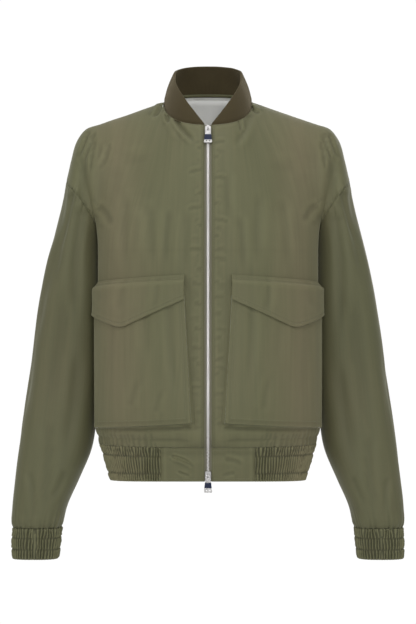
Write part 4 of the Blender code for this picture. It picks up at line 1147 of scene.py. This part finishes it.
def back_form(seed):
    """The whole back: both halves in one grid, with one set of creases."""
    grid = np.concatenate([BACK[:, :0:-1] * MIRROR, BACK], axis=1)
    facing = np.concatenate([BACK_FACING[:, :0:-1] * MIRROR, BACK_FACING], axis=1)
    across = cloth_map(grid)[..., 0]
    height = grid[..., 2]
    above = height - HEM_SEAM_Z
    depth = pressed(grid, facing, CREASES["back"]) * clear_of_seams(grid)
    depth = depth - waist_puckers(across, above, seed) - crinkled(across, height, seed)
    half = armhole_puckers(BACK, seed)
    depth = depth - np.concatenate([half[:, :0:-1], half], axis=1) + seam_dip(above)
    for edge in (grid[:, :1], grid[:, -1:]):
        depth += seam_dip(apart(grid, edge))
    depth += seam_dip(apart(grid, grid[-1:]), 0.0005)
    return grid - facing * depth[..., None], facing


pair("front", front_form, (0.7, 2.4), [SHELL, PALE], shaded=0.28)
BACK_OUTER, BACK_WHOLE_FACING = back_form(4.1)
dress("back", BACK_OUTER, BACK_OUTER - BACK_WHOLE_FACING * CLOTH, [SHELL, PALE])


# %% Sleeves
def sleeve_form(node, seed):
    """A sleeve: its creases, and puckers at the armhole and above the cuff."""
    grid = SLEEVE_GRID
    around = runs(looped(grid))
    share = around[:, :-1] / around[:, -1:]
    above = grid[..., 2] - SLEEVE_SEAM_Z
    down = apart(grid, grid[:1])
    pleats = uneven(share * 0.30 + 0.02 * above, 0.30 / 34, seed)
    fade = np.exp(-((above / 0.014) ** 2)) + 0.4 * np.exp(-((above / 0.038) ** 2))
    armhole = uneven(share * 0.42, 0.42 / 40, seed + 1) * np.exp(-((down / 0.010) ** 2))
    wander = 0.05 * np.sin(2 * math.pi * share) + 0.35 * np.abs(share - 0.5)
    depth = pressed(grid, SLEEVE_FACING, creases_of(node)) - 0.0012 * pleats * fade
    depth = depth - 0.00045 * armhole - crinkled(wander, grid[..., 2], seed)
    depth += seam_dip(down, 0.0003, 0.0022) + seam_dip(above)
    outer = grid - SLEEVE_FACING * depth[..., None]
    return outer, outer - SLEEVE_FACING * CLOTH


pair("sleeve", sleeve_form, (1.3, 3.6), [SHADED_SLEEVE_SHELL, PALE], wraps=True, shaded=0.12)


# %% [markdown]
# ## The rib collar
# One strip of rib, folded double, that leans in towards the neck and tapers to nothing at the
# zip. Its top edge is a soft round fold.


# %% Collar
COLLAR_ROWS = 34
RIB_THICK = 0.0030
FOOT_REACH = 0.0024  # below the neck seam, where the rib runs on between cloth and lining
FOOT_OUTER, FOOT_INNER = 0.0004, 0.0011  # how far inside the seam line it lies


def collar_half(line, front):
    """Rows up from the neck seam: line + way h s + out b sin(pi s), with h the collar's
    height there. In front h grows as 1 - (1 - x)^1.6 from the zip to the shoulder."""
    height = np.full(len(line), COLLAR_HEIGHT)
    out = units(np.stack([line[:, 0], line[:, 1] - NECK_Y, np.zeros(len(line))], axis=-1))
    way = -out * COLLAR_LEAN + np.array([0, 0, 1])
    if front:
        along = np.clip((line[:, 0] - COLLAR_START) / (NECK_WIDTH - COLLAR_START), 0, 1)
        grown = 1 - (1 - along) ** COLLAR_TAPER
        height = COLLAR_LEAST + (COLLAR_HEIGHT - COLLAR_LEAST) * grown
        way[:, 1] *= COLLAR_FRONT_LEAN
    share = (1 - (1 - np.linspace(0, 1, COLLAR_ROWS + 1)) ** 1.3)[:, None, None]
    bow = COLLAR_BOW * np.sin(math.pi * share) * (height / COLLAR_HEIGHT)[:, None]
    return line + units(way) * height[:, None] * share + out * bow


ahead = collar_half(FRONT[-1, : FRONT_NECK + 1], True)
behind = collar_half(BACK[-1, : BACK_NECK + 1], False)
HALF_COLLAR = np.concatenate([ahead, behind[:, ::-1][:, 1:]], axis=1)
facing = normals(HALF_COLLAR, (1, 0, 0.3))
facing[:, -1, 0] = 0
facing[:, -1] = units(facing[:, -1])
COLLAR, COLLAR_FACING = (
    np.concatenate([half, half[:, ::-1][:, 1:] * MIRROR], axis=1) for half in (HALF_COLLAR, facing)
)


def collar_form():
    """The strip with its fold rounded: near the top the walls draw together as a circle's
    do, thickness sqrt(1 - t2), and at the neck seam the rib is drawn in."""
    low = apart(COLLAR, COLLAR[:1])
    tall = apart(COLLAR[-1:], COLLAR[:1])
    top = apart(COLLAR, COLLAR[-1:])
    half = RIB_THICK / 2 * np.sqrt(1 - np.clip(1 - top / (RIB_THICK / 2), 0, 0.94) ** 2)
    half = half * (0.45 + 0.55 * smooth(tall / 0.012))
    wave = 0.0005 * uneven(cloth_map(COLLAR)[..., 0], 0.047, 1.1) * smooth(low / 0.02)
    middle = COLLAR - COLLAR_FACING * (RIB_THICK / 2 - wave)[..., None]
    pull = seam_dip(low, 0.0008, 0.0025)[..., None]
    outer = middle + COLLAR_FACING * (half[..., None] - pull)
    inner = middle - COLLAR_FACING * half[..., None]
    foot = COLLAR[:1] + units(COLLAR[:1] - COLLAR[1:2]) * FOOT_REACH
    outer = np.concatenate([foot - COLLAR_FACING[:1] * FOOT_OUTER, outer])
    return outer, np.concatenate([foot - COLLAR_FACING[:1] * FOOT_INNER, inner])


dress("collar", *collar_form(), [KNIT_FINISH], "collar_rib")


# %% [markdown]
# ## Gathered elastic
# The waistband from tab to tab and the cuffs are one layer of cloth over wide elastic. Rows of
# stitches pinch the gathers, and between the rows they puff out and wander.


# %% Waistband
BAND_ROWS, BAND_COLUMNS = 22, 1400
ELASTIC = 0.0020  # how far the inner face lies inside the band's own line
GATHER_PITCH = 0.0048
WAIST_STITCHES, CUFF_STITCHES = (0.27, 0.76), (0.32, 0.68)  # shares of the band's depth
WAIST_RISE, CUFF_RISE = 0.0023, 0.0021


def band_rows(shares, start, end, count):
    """Rows of points down the waistband, between two lengths round the body. The bottom
    edge is higher at the centre front."""
    heights = HEM_SEAM_Z + shares * (HEM_BOTTOM_Z - HEM_SEAM_Z)
    lines = ring(heights[:, None], np.linspace(0, 4, 1600)[None])
    total = runs(lines)[:, -1:]
    last = total - start if end is None else np.full_like(total, end)
    rows = places_along(lines, start + (last - start) * np.linspace(0, 1, count)[None])
    ahead = np.clip(-rows[..., 1] / BODY[0].front, 0, 1)
    lift = HEM_LIFT * ahead**2
    rows[..., 2] = HEM_SEAM_Z + shares[:, None] * (HEM_BOTTOM_Z - HEM_SEAM_Z + lift)
    return rows


def level_normals(rows):
    """Across each row in the level plane, away from the body's middle."""
    along = np.gradient(rows, axis=1)
    normal = units(np.stack([along[..., 1], -along[..., 0], np.zeros(rows.shape[:2])], axis=-1))
    outward = ((rows - [0, SIDE_Y, 0]) * normal)[..., :2].sum()
    return -normal if outward < 0 else normal


def pinched(share, stitch_rows, reach=0.055):
    """1 between the rows of stitches, and near 0 at each of them and at both edges."""
    away = np.min([np.abs(share - row) for row in (*stitch_rows, 0.0)], axis=0)
    return smooth(away / reach)


def gathers(length, share, seed, stitch_rows):
    """Rounded pleats with narrow valleys, 1 - 2 |sin|^0.8, that wander sideways between the
    rows of stitches. Above the first row they fan out, and some fade."""
    band = np.searchsorted(np.array(stitch_rows), share)
    drift = 0.0006 * np.sin(length * 150 + 2.6 * band + 5 * share) * pinched(share, stitch_rows)
    turn = 2 * math.pi * (length + drift) / GATHER_PITCH
    phase = turn + 0.6 * np.sin(turn / 7.1 + seed) + 0.3 * np.sin(turn / 3.3 + 2 * seed)
    height = 0.84 + 0.12 * np.sin(turn / 4.3 + 1.7 * seed + band) + 0.08 * np.sin(turn / 9.7)
    first = 1 - smooth((share - 0.04) / (stitch_rows[0] - 0.04))
    fan = 1.8 * np.sin(turn / 5.2 + seed) * first
    fade = 1 - 0.55 * first * (0.5 + 0.5 * np.sin(turn / 2.3 + 3 * seed))
    return height * fade * (1 - 2 * np.abs(np.sin((phase + fan) / 2)) ** 0.8)


def banded(rows, facing, stitch_rows, rise, seed, wraps):
    """A gathered band's outer and inner face. Its pleats are rise high between the rows of
    stitches, and its bottom edge rolls under."""
    length = runs(looped(rows, wraps))[:, : rows.shape[1]]
    length = np.broadcast_to(length[len(length) // 2], length.shape)
    share = np.broadcast_to(np.linspace(0, 1, len(rows))[:, None], length.shape)
    open_to = pinched(share, stitch_rows)
    pleat = gathers(length, share, seed, stitch_rows) * rise * (0.55 + 0.45 * open_to)
    swell = 0.0009 * open_to - 0.0004
    roll = ELASTIC * 0.45 * smooth((share - 0.93) / 0.07)
    outer = rows + facing * (pleat + swell - roll)[..., None]
    return outer, rows - facing * (ELASTIC - roll)[..., None]


shares = np.linspace(0, 1, BAND_ROWS + 1)
rows = band_rows(shares, TAB_WIDTH, None, BAND_COLUMNS)
faces = banded(rows, level_normals(rows), WAIST_STITCHES, WAIST_RISE, 0.9, False)
# Painted shade at full strength in the valleys of the gathers
dress("hem_band", *faces, [SHELL], shaded=1.0)


# %% Waistband tabs
TAB_ROWS, TAB_COLUMNS = 46, 110
TAB_THICK = 0.0016


def tab_form(node, seed):
    """A plain folded tab with a few drag lines, from the zip to the gathered band."""
    rows = band_rows(np.linspace(0, 1, TAB_ROWS), FRONT_EDGE, TAB_WIDTH, TAB_COLUMNS)
    facing = level_normals(rows)
    across, up = np.moveaxis(cloth_map(rows), -1, 0)
    depth = pressed(rows, facing, creases_of(node)) - crinkled(across, up, seed)
    low = apart(rows, rows[-1:])
    depth += seam_dip(apart(rows, rows[:1])) + seam_dip(apart(rows, rows[:, -1:]))
    depth += 0.0008 * smooth(1 - low / 0.0016)
    return rows - facing * depth[..., None], rows - facing * TAB_THICK


pair("hem_tab", tab_form, (0.4, 1.9), [SHELL], shaded=0.3)


# %% Cuffs
CUFF_COLUMNS = 460
turns = np.arange(CUFF_COLUMNS) / CUFF_COLUMNS
rows = section_rings(CUFF, CUFF_TOP_Z + shares * (CUFF_BOTTOM_Z - CUFF_TOP_Z), turns)
facing = units(around_normals(rows) * [1, 1, 0])


def cuff_form(node, seed):
    return banded(rows, facing, CUFF_STITCHES, CUFF_RISE, seed, True)


# Painted shade at full strength in the valleys of the gathers
pair("cuff", cuff_form, (0.5, 2.2), [SHADED_SLEEVE_SHELL], wraps=True, shaded=1.0)


# %% [markdown]
# ## Patch pockets and flaps
# Both lie on the front: a point is a height and a length across from the centre line, lifted
# along the way the front faces there. The pocket's bellows sides fold in half-way up, and its
# face is a shallow bag.


# %% Pockets
POCKET_TOP = (-0.3080, 0.0380, 0.2120)  # height, inner and outer edge across
POCKET_LOW = (-0.5220, 0.0265, 0.2060)
POCKET_DROP = 0.0120
POCKET_DEPTH = 0.0095
POCKET_ROWS, POCKET_COLUMNS = 84, 74
MOST_FLARE, LEAST_FLARE = 0.0060, 0.0016
Step = namedtuple("Step", "out lift")  # past the face's edge in flares, and off the front
BELLOWS = named(
    Step,
    (1.00, 0.0006),
    (0.72, 0.0016),
    (0.10, 0.0030),
    (-0.22, 0.0041),
    (-0.22, 0.0050),
    (0.02, 0.0064),
    (0.06, 0.0080),
    (-0.02, 0.0091),
    (-0.30, 0.0098),
    (-0.75, 0.0097),
)
FOLDS = len(BELLOWS)
PLAIN_STEPS = 59
PLAIN_Z, PLAIN_ACROSS = (-0.55, -0.27), (0.012, 0.222)  # where pockets and flaps lie


def over_front(height, across):
    """Points of the left front at these heights and lengths across from the centre."""
    turns = np.linspace(0, 1, 160)[None]
    flat_height, flat_across = height.reshape(-1), across.reshape(-1)
    places = []
    for part in np.array_split(np.arange(flat_height.size), 6):
        lines = ring(flat_height[part][:, None], turns)
        places.append(places_along(lines, flat_across[part][:, None])[:, 0])
    return np.concatenate(places).reshape(*height.shape, 3)


def pocket_plan():
    """The pocket's heights and lengths across, its lift, and its shares across and up."""
    outs, lifts = np.array(BELLOWS).T
    up = np.concatenate([np.zeros(FOLDS), np.linspace(0.03, 1, POCKET_ROWS)])
    along = np.linspace(0.03, 0.97, POCKET_COLUMNS)
    along = np.concatenate([np.zeros(FOLDS), along, np.ones(FOLDS)])
    up, along = np.meshgrid(up, along, indexing="ij")
    flare = LEAST_FLARE + (MOST_FLARE - LEAST_FLARE) * (1 - up) ** 1.7
    side_out = np.concatenate([outs, np.zeros(POCKET_COLUMNS), -outs[::-1]])
    low_out = np.concatenate([outs, np.zeros(POCKET_ROWS)])[:, None]
    rise = POCKET_TOP[0] - POCKET_LOW[0]
    inner, outer = (POCKET_LOW[k] + (POCKET_TOP[k] - POCKET_LOW[k]) * up for k in (1, 2))
    across = inner + (outer - inner) * along - side_out * flare
    height = POCKET_LOW[0] + rise * up - POCKET_DROP * along - low_out * LEAST_FLARE * 1.3
    side_lift = np.concatenate([lifts, np.full(POCKET_COLUMNS, POCKET_DEPTH), lifts[::-1]])
    low_lift = np.concatenate([lifts, np.full(POCKET_ROWS, POCKET_DEPTH)])[:, None]
    return height, across, np.minimum(side_lift, low_lift), up, along


plain = (np.linspace(low, high, PLAIN_STEPS + 1) for low, high in (PLAIN_Z, PLAIN_ACROSS))
plain_facing = normals(over_front(*np.meshgrid(*plain, indexing="ij")), (0, -1, 0))


def front_facing(height, across):
    """The way the front faces, read between the points of a plain even grid."""
    row, column = (
        np.clip((value - low) / (high - low) * PLAIN_STEPS, 0, PLAIN_STEPS - 0.001)
        for value, (low, high) in ((height, PLAIN_Z), (across, PLAIN_ACROSS))
    )
    i, j = row.astype(int), column.astype(int)
    a, b = (row - i)[..., None], (column - j)[..., None]
    low, high = (plain_facing[k, j] * (1 - b) + plain_facing[k, j + 1] * b for k in (i, i + 1))
    return units(low * (1 - a) + high * a)


POCKET_HEIGHT, POCKET_ACROSS, POCKET_LIFT, POCKET_UP, POCKET_ALONG = pocket_plan()
pocket_base = over_front(POCKET_HEIGHT, POCKET_ACROSS)
pocket_way = front_facing(POCKET_HEIGHT, POCKET_ACROSS)


def pocket_form(node, seed):
    """The bag: lift + 2.1 mm sin(pi s)^0.7 sin(pi t)^0.8 and soft folds, on the face only,
    with a groove where its edge is sewn."""
    inside = np.sin(math.pi * np.clip(POCKET_ALONG, 0, 1)) ** 0.7
    bag = 0.0021 * inside * np.sin(math.pi * np.clip(POCKET_UP, 0, 1)) ** 0.8
    face = smooth(inside * 3) * smooth(POCKET_UP / 0.06)
    waves = crinkled(POCKET_ACROSS, POCKET_HEIGHT, seed) * 1.3
    depth = pressed(pocket_base, pocket_way, creases_of(node)) - waves
    edge = np.minimum(POCKET_ALONG, 1 - POCKET_ALONG) * 0.175
    edge = np.minimum(edge, POCKET_UP * 0.214)
    lift = POCKET_LIFT + bag - depth * face
    lift -= 0.0004 * np.exp(-(((edge - 0.0062) / 0.0011) ** 2))
    outer = pocket_base + pocket_way * lift[..., None]
    inner = outer - pocket_way * (CLOTH * np.minimum(1, lift / 0.002))[..., None]
    return outer, inner, np.stack([POCKET_ACROSS, POCKET_HEIGHT], axis=-1)


pair("pocket", pocket_form, (2.9, 5.2), [SHELL, PALE])


# %% Flaps
FLAP_ROWS, FLAP_COLUMNS = 61, 101
FLAP_TOP_Z = -0.2890
FLAP_TOP_DROP = 0.0106
FLAP_THICK = 0.0022
FLAP_CLIMB = 0.0128
FLAP_MARGIN = 0.0012  # wider than the pocket at each end
FLAP_TIP = 0.56  # where its point stands, as a share of its width
FLAP_LOW_EDGE = ((0.00, FLAP_TIP, 1.00), (-0.3285, -0.3742, -0.3540))  # shares and heights
FLAP_STITCH, FLAP_LOW_STITCH = 0.0072, 0.0060  # from the top and from the lower edge


def closer_at_ends(count):
    even = np.linspace(0, 1, count)
    return 0.8 * even + 0.2 * (0.5 - 0.5 * np.cos(math.pi * even))


def flap_form(node, seed):
    """The flap climbs over the pocket's mouth, lies on its bag, and curls up at its lower
    edge. Its edges are rolled: thickness sqrt(1 - t2) over the last millimetre."""
    along = closer_at_ends(FLAP_COLUMNS)
    rounded = 0.0016 * np.exp(-(((along - FLAP_TIP) / 0.025) ** 2))
    low = np.interp(along, *FLAP_LOW_EDGE) + rounded
    top = FLAP_TOP_Z - FLAP_TOP_DROP * along
    height = top + (low - top) * closer_at_ends(FLAP_ROWS)[:, None]
    down, above = top - height, height - low
    left, right = POCKET_TOP[1] - FLAP_MARGIN, POCKET_TOP[2] + FLAP_MARGIN
    across = left + (right - left) * along + np.zeros_like(height)
    base = over_front(height, across)
    way = front_facing(height, across)
    bag = 0.0018 * np.sin(math.pi * along) ** 0.7 * smooth(down / 0.05)
    lift = 0.0008 + (POCKET_DEPTH - 0.0002) * smooth(down / FLAP_CLIMB) + bag
    curl = 0.0011 * np.exp(-((above / 0.010) ** 2)) * (0.7 + 0.3 * np.sin(along * 9 + seed))
    depth = pressed(base, way, creases_of(node)) - crinkled(across, height, seed)
    depth += seam_dip(np.abs(down - FLAP_STITCH), 0.0005, 0.0016)
    depth += seam_dip(np.abs(above - FLAP_LOW_STITCH), 0.00025, 0.0014)
    middle = lift + curl - depth * smooth(down / 0.004) + FLAP_THICK / 2
    border = np.minimum(np.minimum(across - left, right - across), above)
    border = np.minimum(border, down + 0.0004)
    half = FLAP_THICK / 2 * np.sqrt(1 - np.clip(1 - border / 0.0011, 0, 0.95) ** 2)
    outer, inner = (base + way * lifted[..., None] for lifted in (middle + half, middle - half))
    return outer, inner, np.stack([across, height], axis=-1)


pair("flap", flap_form, (1.7, 4.4), [SHELL])


# %% [markdown]
# ## The lining and the nape
# Through the neck shows the pale lining of the back, and over the nape seam a narrow strip of
# the jacket's own cloth, sewn flat along both edges.


# %% Lining and nape strip
LINING_THICK = 0.0010
LINING_BEHIND = 0.0012  # from the back's outer face
LINING_TOP = 0.0075  # below the neck seam
LINING_ROWS, LINING_INSET = 60, 5  # its rows, and the back's columns left out at each side
STRIP_EDGES = (-0.0015, 0.0035)  # above the neck seam
STRIP_REACH = 34  # columns each side of the centre
STRIP_ROWS = 14
STRIP_THICK = 0.0008


def trimmed(grid, top, count, inset):
    """The grid's columns shortened by top at their upper end, in count even rows."""
    lines = grid[:, inset : grid.shape[1] - inset].transpose(1, 0, 2)
    total = runs(lines)[:, -1:]
    return places_along(lines, (total - top) * np.linspace(0, 1, count)[None]).transpose(1, 0, 2)


face = BACK_OUTER - BACK_WHOLE_FACING * LINING_BEHIND
face = trimmed(face, LINING_TOP, LINING_ROWS, LINING_INSET)
way = normals(face, (0, 1, 0))
place = cloth_map(face)
wave = 0.0005 * uneven(place[..., 0] + 0.1 * place[..., 1], 0.055, 1.9)
wave = wave * np.sin(math.pi * np.linspace(0, 1, LINING_ROWS))[:, None]
face = face - way * (0.0006 + wave)[..., None]
dress("lining_back", face, face - way * LINING_THICK, [PALE], "lining_satin")

centre = HALF_COLLAR.shape[1] - 1
columns = slice(centre - STRIP_REACH, centre + STRIP_REACH + 1)
lean = units(COLLAR[4:5, columns] - COLLAR[:1, columns])
way = COLLAR_FACING[:1, columns]
share = np.linspace(0, 1, STRIP_ROWS)[:, None, None]
low, high = STRIP_EDGES
strip = COLLAR[:1, columns] + lean * (low + (high - low) * share)
strip = strip - way * (RIB_THICK + 0.0005 - 0.0009 * (1 - share) ** 2)
share = share[..., 0]
puff = 0.0004 * np.sin(math.pi * share) + 0.00008 * uneven(cloth_map(strip)[..., 0], 0.004, 0.3)
half = STRIP_THICK / 2 * (0.35 + 0.65 * np.sin(math.pi * share) ** 0.5)
faces = [strip - way * lifted[..., None] for lifted in (puff + half, puff - half)]
dress("neck_strip", *faces, [SHELL], "nape_strip")
print("nape seam", COLLAR[0, centre].round(4), "strip", cloth_map(strip)[-1, -1].round(4))

# %% [markdown]
# ## The zip
# A two-way metal zip: on each tape a row of small teeth with a rounded head, and the two rows
# lock into each other. One tooth's outline is carried through four depths, and all teeth are
# made at once as one array.


# %% The zip's line, tapes and teeth
TAPE_EDGE = 0.0021
TAPE_THICK = 0.0007
TAPE_BEHIND = 0.0015
TAPE_UNDER = 0.0060  # how far the tape reaches under the front
TAB_STEPS, TAPE_COLUMNS = 13, 7
CHAIN_END_Z = -0.6130
TOOTH_PITCH = 0.0022
TOOTH = np.array(  # across from the tape's edge and half its height, from root to tip
    [(0.0, 0.00042), (0.0009, 0.00040), (0.0018, 0.00052), (0.0025, 0.00034)]
)
TOOTH_MIDDLE = np.array([0.0012, 0.0])
TOOTH_LAYERS = ((-0.0027, 0.72), (-0.0023, 1.0), (-0.0007, 1.0), (-0.0003, 0.70))  # depth, scale

shares = np.linspace(1, 0, TAB_STEPS + 1)
tab_rows = band_rows(shares, FRONT_EDGE, FRONT_EDGE + TAPE_UNDER, 2)[:-1]
ZIP_LINE = np.concatenate([tab_rows[:, 0], FRONT[:, 0]])[:, 1:]
up = units(np.gradient(ZIP_LINE, axis=0))
ZIP_OUT = np.stack([-up[:, 1], up[:, 0]], axis=-1)
under = places_along(FRONT, TAPE_UNDER + 0 * FRONT[:, :1, 0])[:, 0]
under = np.concatenate([tab_rows[:, 1], under])
near = np.column_stack([np.full(len(ZIP_LINE), TAPE_EDGE), ZIP_LINE])
face = near[:, None] + (under - near)[:, None] * np.linspace(0, 1, TAPE_COLUMNS)[None, :, None]
way = normals(face, (0, -1, 0))
face = face - way * TAPE_BEHIND
for word, side in SIDES:
    node = f"zip_tape_{word}"
    dress(node, face, face - way * TAPE_THICK, [TAPE], f"{node}_woven", side=side)


def read_along(length, at, values):
    """Each column of values, given at these lengths, read at other ones."""
    return np.stack([np.interp(at, length, column) for column in values.T], axis=-1)


def solid(name, layers, finish, even=False):
    """Closed solids of quads through layers of octagons, given as one array of points
    (n, layers, 8, 3), with smooth faces if they are even."""
    index = np.arange(layers.size // 3).reshape(layers.shape[:3])
    turned = np.roll(index, -1, axis=2)
    sides = np.stack([index[:, :-1], turned[:, :-1], turned[:, 1:], index[:, 1:]], axis=-1)
    caps = []
    for layer, way in ((0, -1), (-1, 1)):
        for corners in ((0, 1, 2, 3), (0, 3, 4, 7), (4, 5, 6, 7)):
            caps.append(index[:, layer, list(corners[::way])])
    points = layers.reshape(-1, 3)
    faces = np.concatenate([sides.reshape(len(layers), -1, 4), np.stack(caps, axis=1)], axis=1)
    faces = outward(points, faces).reshape(-1, 4)
    flat = np.full(len(faces), not even)
    return build(name, points, faces, points[faces][..., [0, 2]], [finish], 0 * faces[:, 0], flat)


def teeth():
    """Tooth k stands at k half pitches up the zip's line, from the left and right in turn."""
    keep = ZIP_LINE[:, 1] > CHAIN_END_Z - 0.004
    line, out = ZIP_LINE[keep], ZIP_OUT[keep]
    length = runs(line[None])[0]
    start = np.interp(CHAIN_END_Z, line[:, 1], length)
    spots = np.arange(start + 0.0006, length[-1] - 0.0006, TOOTH_PITCH / 2)
    side = np.where(np.arange(len(spots)) % 2, 1.0, -1.0)
    place = read_along(length, spots, line)
    outwards = units(read_along(length, spots, out))
    upward = np.stack([outwards[:, 1], -outwards[:, 0]], axis=-1)
    plan = np.concatenate([TOOTH, TOOTH[::-1] * [1, -1]])
    layers = []
    for depth, scale in TOOTH_LAYERS:
        spot = TOOTH_MIDDLE + (plan - TOOTH_MIDDLE) * [0.5 + 0.5 * scale, scale]
        x = side[:, None] * (TAPE_EDGE - spot[None, :, 0])
        yz = place[:, None] + upward[:, None] * spot[None, :, 1:] + outwards[:, None] * depth
        layers.append(np.concatenate([x[..., None], yz], axis=-1))
    return np.stack(layers, axis=1)


PIECES["zip_chain"] = solid("zip_teeth", teeth(), TEETH)

# %% The enamel on the pulls
PULL_PANELS = {"top": (0.0108, 0.0212), "bottom": (0.0108, 0.0194)}  # below the pull's pin
PIN_BELOW_END = 0.00075  # from the tab's upper end to its pin
TAB_NARROW, TAB_WIDENS = 0.0037, 0.0027 / 0.0262  # the tab's half width, and its growth
PANEL_MARGIN = 0.00012  # wider than the tab at each side
ENAMEL = 0.00028  # its thickness on the metal
ENAMEL_LAYERS = ((-1.0, 0.0003), (-0.8, 0.0), (0.8, 0.0), (1.0, 0.0003))  # depth, inset


def enamel_panel(pull, spots):
    """Layers of an eight-sided panel that wraps the pull, in the pull's own axes: the
    longest one down it, the shortest one out of it."""
    points = np.array([pull.matrix_world @ v.co for v in pull.data.vertices])
    middle = points.mean(0)
    axes = np.linalg.svd(points - middle, full_matrices=False)[2]
    down = axes[0] * -np.sign(axes[0][2])
    out = axes[2] * -np.sign(axes[2][1])
    across = np.cross(down, out)
    thick = np.abs((points - middle) @ out).max() + ENAMEL
    centre = middle + across * ((points - middle) @ across).mean()
    centre = centre + down * ((points - middle) @ down).min()
    low, high = (spot + PIN_BELOW_END for spot in spots)
    steps = np.linspace(low, high, 4)
    layers = []
    for depth, inset in ENAMEL_LAYERS:
        half = (TAB_NARROW + TAB_WIDENS * steps + PANEL_MARGIN - inset)[:, None]
        along = centre + down * np.clip(steps, low + inset, high - inset)[:, None]
        face = np.concatenate([along + across * half, (along - across * half)[::-1]])
        layers.append(face + out * depth * thick)
    return np.array(layers)[None]


RIDERS = {}
for word, spots in PULL_PANELS.items():
    node = f"pull_{word}"
    RIDERS[node] = solid(f"{node}_enamel", enamel_panel(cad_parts[node], spots), NAVY)
print("enamel on", list(RIDERS))

# %% [markdown]
# ## Stitches
# Each stitch is a small spindle of thread, 3 mm long with a gap to the next, that lies in the
# groove its line has pulled into the cloth.

# %% Stitch lines
STITCH_PITCH = 0.0040
STITCH_LONG = 0.0030
STITCH_WIDE = 0.00030
Ring = namedtuple("Ring", "along width rise")  # shares of the length and of the width
SPINDLE = named(Ring, (-0.5, 0.4, -0.1), (-0.3, 1.0, 0.45), (0.3, 1.0, 0.45), (0.5, 0.4, -0.1))
EDGE_STITCH = 0.0032  # from the edge beside the zip


def stitches(paths):
    """Spindles along each path: four rings of a flat octagon."""
    shifts, widths, rises = np.array(SPINDLE).T
    turn = np.arange(8)[:, None] * math.pi / 4
    layers = []
    for path, face in paths:
        length = runs(path[None])[0]
        spots = np.arange(STITCH_PITCH / 2, length[-1] - STITCH_PITCH / 2, STITCH_PITCH)
        place = read_along(length, spots[:, None] + shifts * STITCH_LONG, path)
        lift = units(read_along(length, spots, face))[:, None]
        aside = units(np.cross(units(place[:, -1] - place[:, 0]), lift[:, 0]))[:, None]
        circle = (aside * np.cos(turn) + lift * np.sin(turn) * 0.7)[:, None]
        scale = widths[None, :, None, None] * STITCH_WIDE
        rise = lift * (rises[None, :, None] * STITCH_WIDE)
        layers.append((place + rise)[:, :, None] + circle * scale)
    return np.concatenate(layers)


def across_rows(grid, length, side):
    """The path that crosses each row of a grid at this length from its first point, and the
    way the grid faces at its middle column."""
    path = places_along(grid, np.full((len(grid), 1), length))[:, 0]
    facing = normals(grid, (0, -1, 0))[:, grid.shape[1] // 2]
    return path * [side, 1, 1], facing * [side, 1, 1]


def sewn(word):
    """Each sewn line of this side: a grid whose rows it crosses, and how far in."""
    front, flap, pocket, tab = (
        OUTER[f"{kind}_{word}"] for kind in ("front", "flap", "pocket", "hem_tab")
    )
    bag = pocket[FOLDS:, FOLDS:-FOLDS]
    return (
        (front, EDGE_STITCH),
        (flap.transpose(1, 0, 2)[2:-2], FLAP_STITCH),
        (flap[::-1].transpose(1, 0, 2)[4:-4], FLAP_LOW_STITCH),
        (bag[3:], 0.0010),
        (bag[3:, ::-1], 0.0010),
        (bag.transpose(1, 0, 2)[1:-1], 0.0030),
        (tab[2:-2], EDGE_STITCH),
        (tab.transpose(1, 0, 2)[2:-2], 0.0040),
        (tab[::-1].transpose(1, 0, 2)[2:-2], 0.0050),
    )


paths = [across_rows(grid, far, side) for word, side in SIDES for grid, far in sewn(word)]
RIDERS["jacket"] = solid("topstitches", stitches(paths), THREAD, True)


# %% [markdown]
# ## Riding on the frame
# Each piece stands for its solid and rides on the body that carries it. For every sheet of
# cloth the size it was cut to is worked out: the whole piece, all round, as a maker would lay it
# flat.

# %% Bind the pieces
for node, piece in PIECES.items():
    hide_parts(node)
    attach(piece, "jacket")
for body, piece in RIDERS.items():
    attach(piece, body)
for node in ("slider_top", "slider_bottom", "pull_top", "pull_bottom"):
    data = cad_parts[node].data
    data.materials.clear()
    data.materials.append(NICKEL)

# %% The sheets' flat sizes
dict.fromkeys(("hem_band", "cuff_left", "cuff_right"), "gathered")
TRIMS = {"lining_back": "neck_strip"}
TRIMS.update({f"front_{word}": f"zip_tape_{word}" for word, _ in SIDES})
OUTER["collar"] = COLLAR
for node, piece in PIECES.items():
    if node == "zip_chain" or node in TRIMS.values():
        continue
    grid, wraps = OUTER[node], node.startswith(("sleeve", "cuff"))
    area = surface_area(grid, wraps)
    length = float(runs(grid.transpose(1, 0, 2))[:, -1].max())
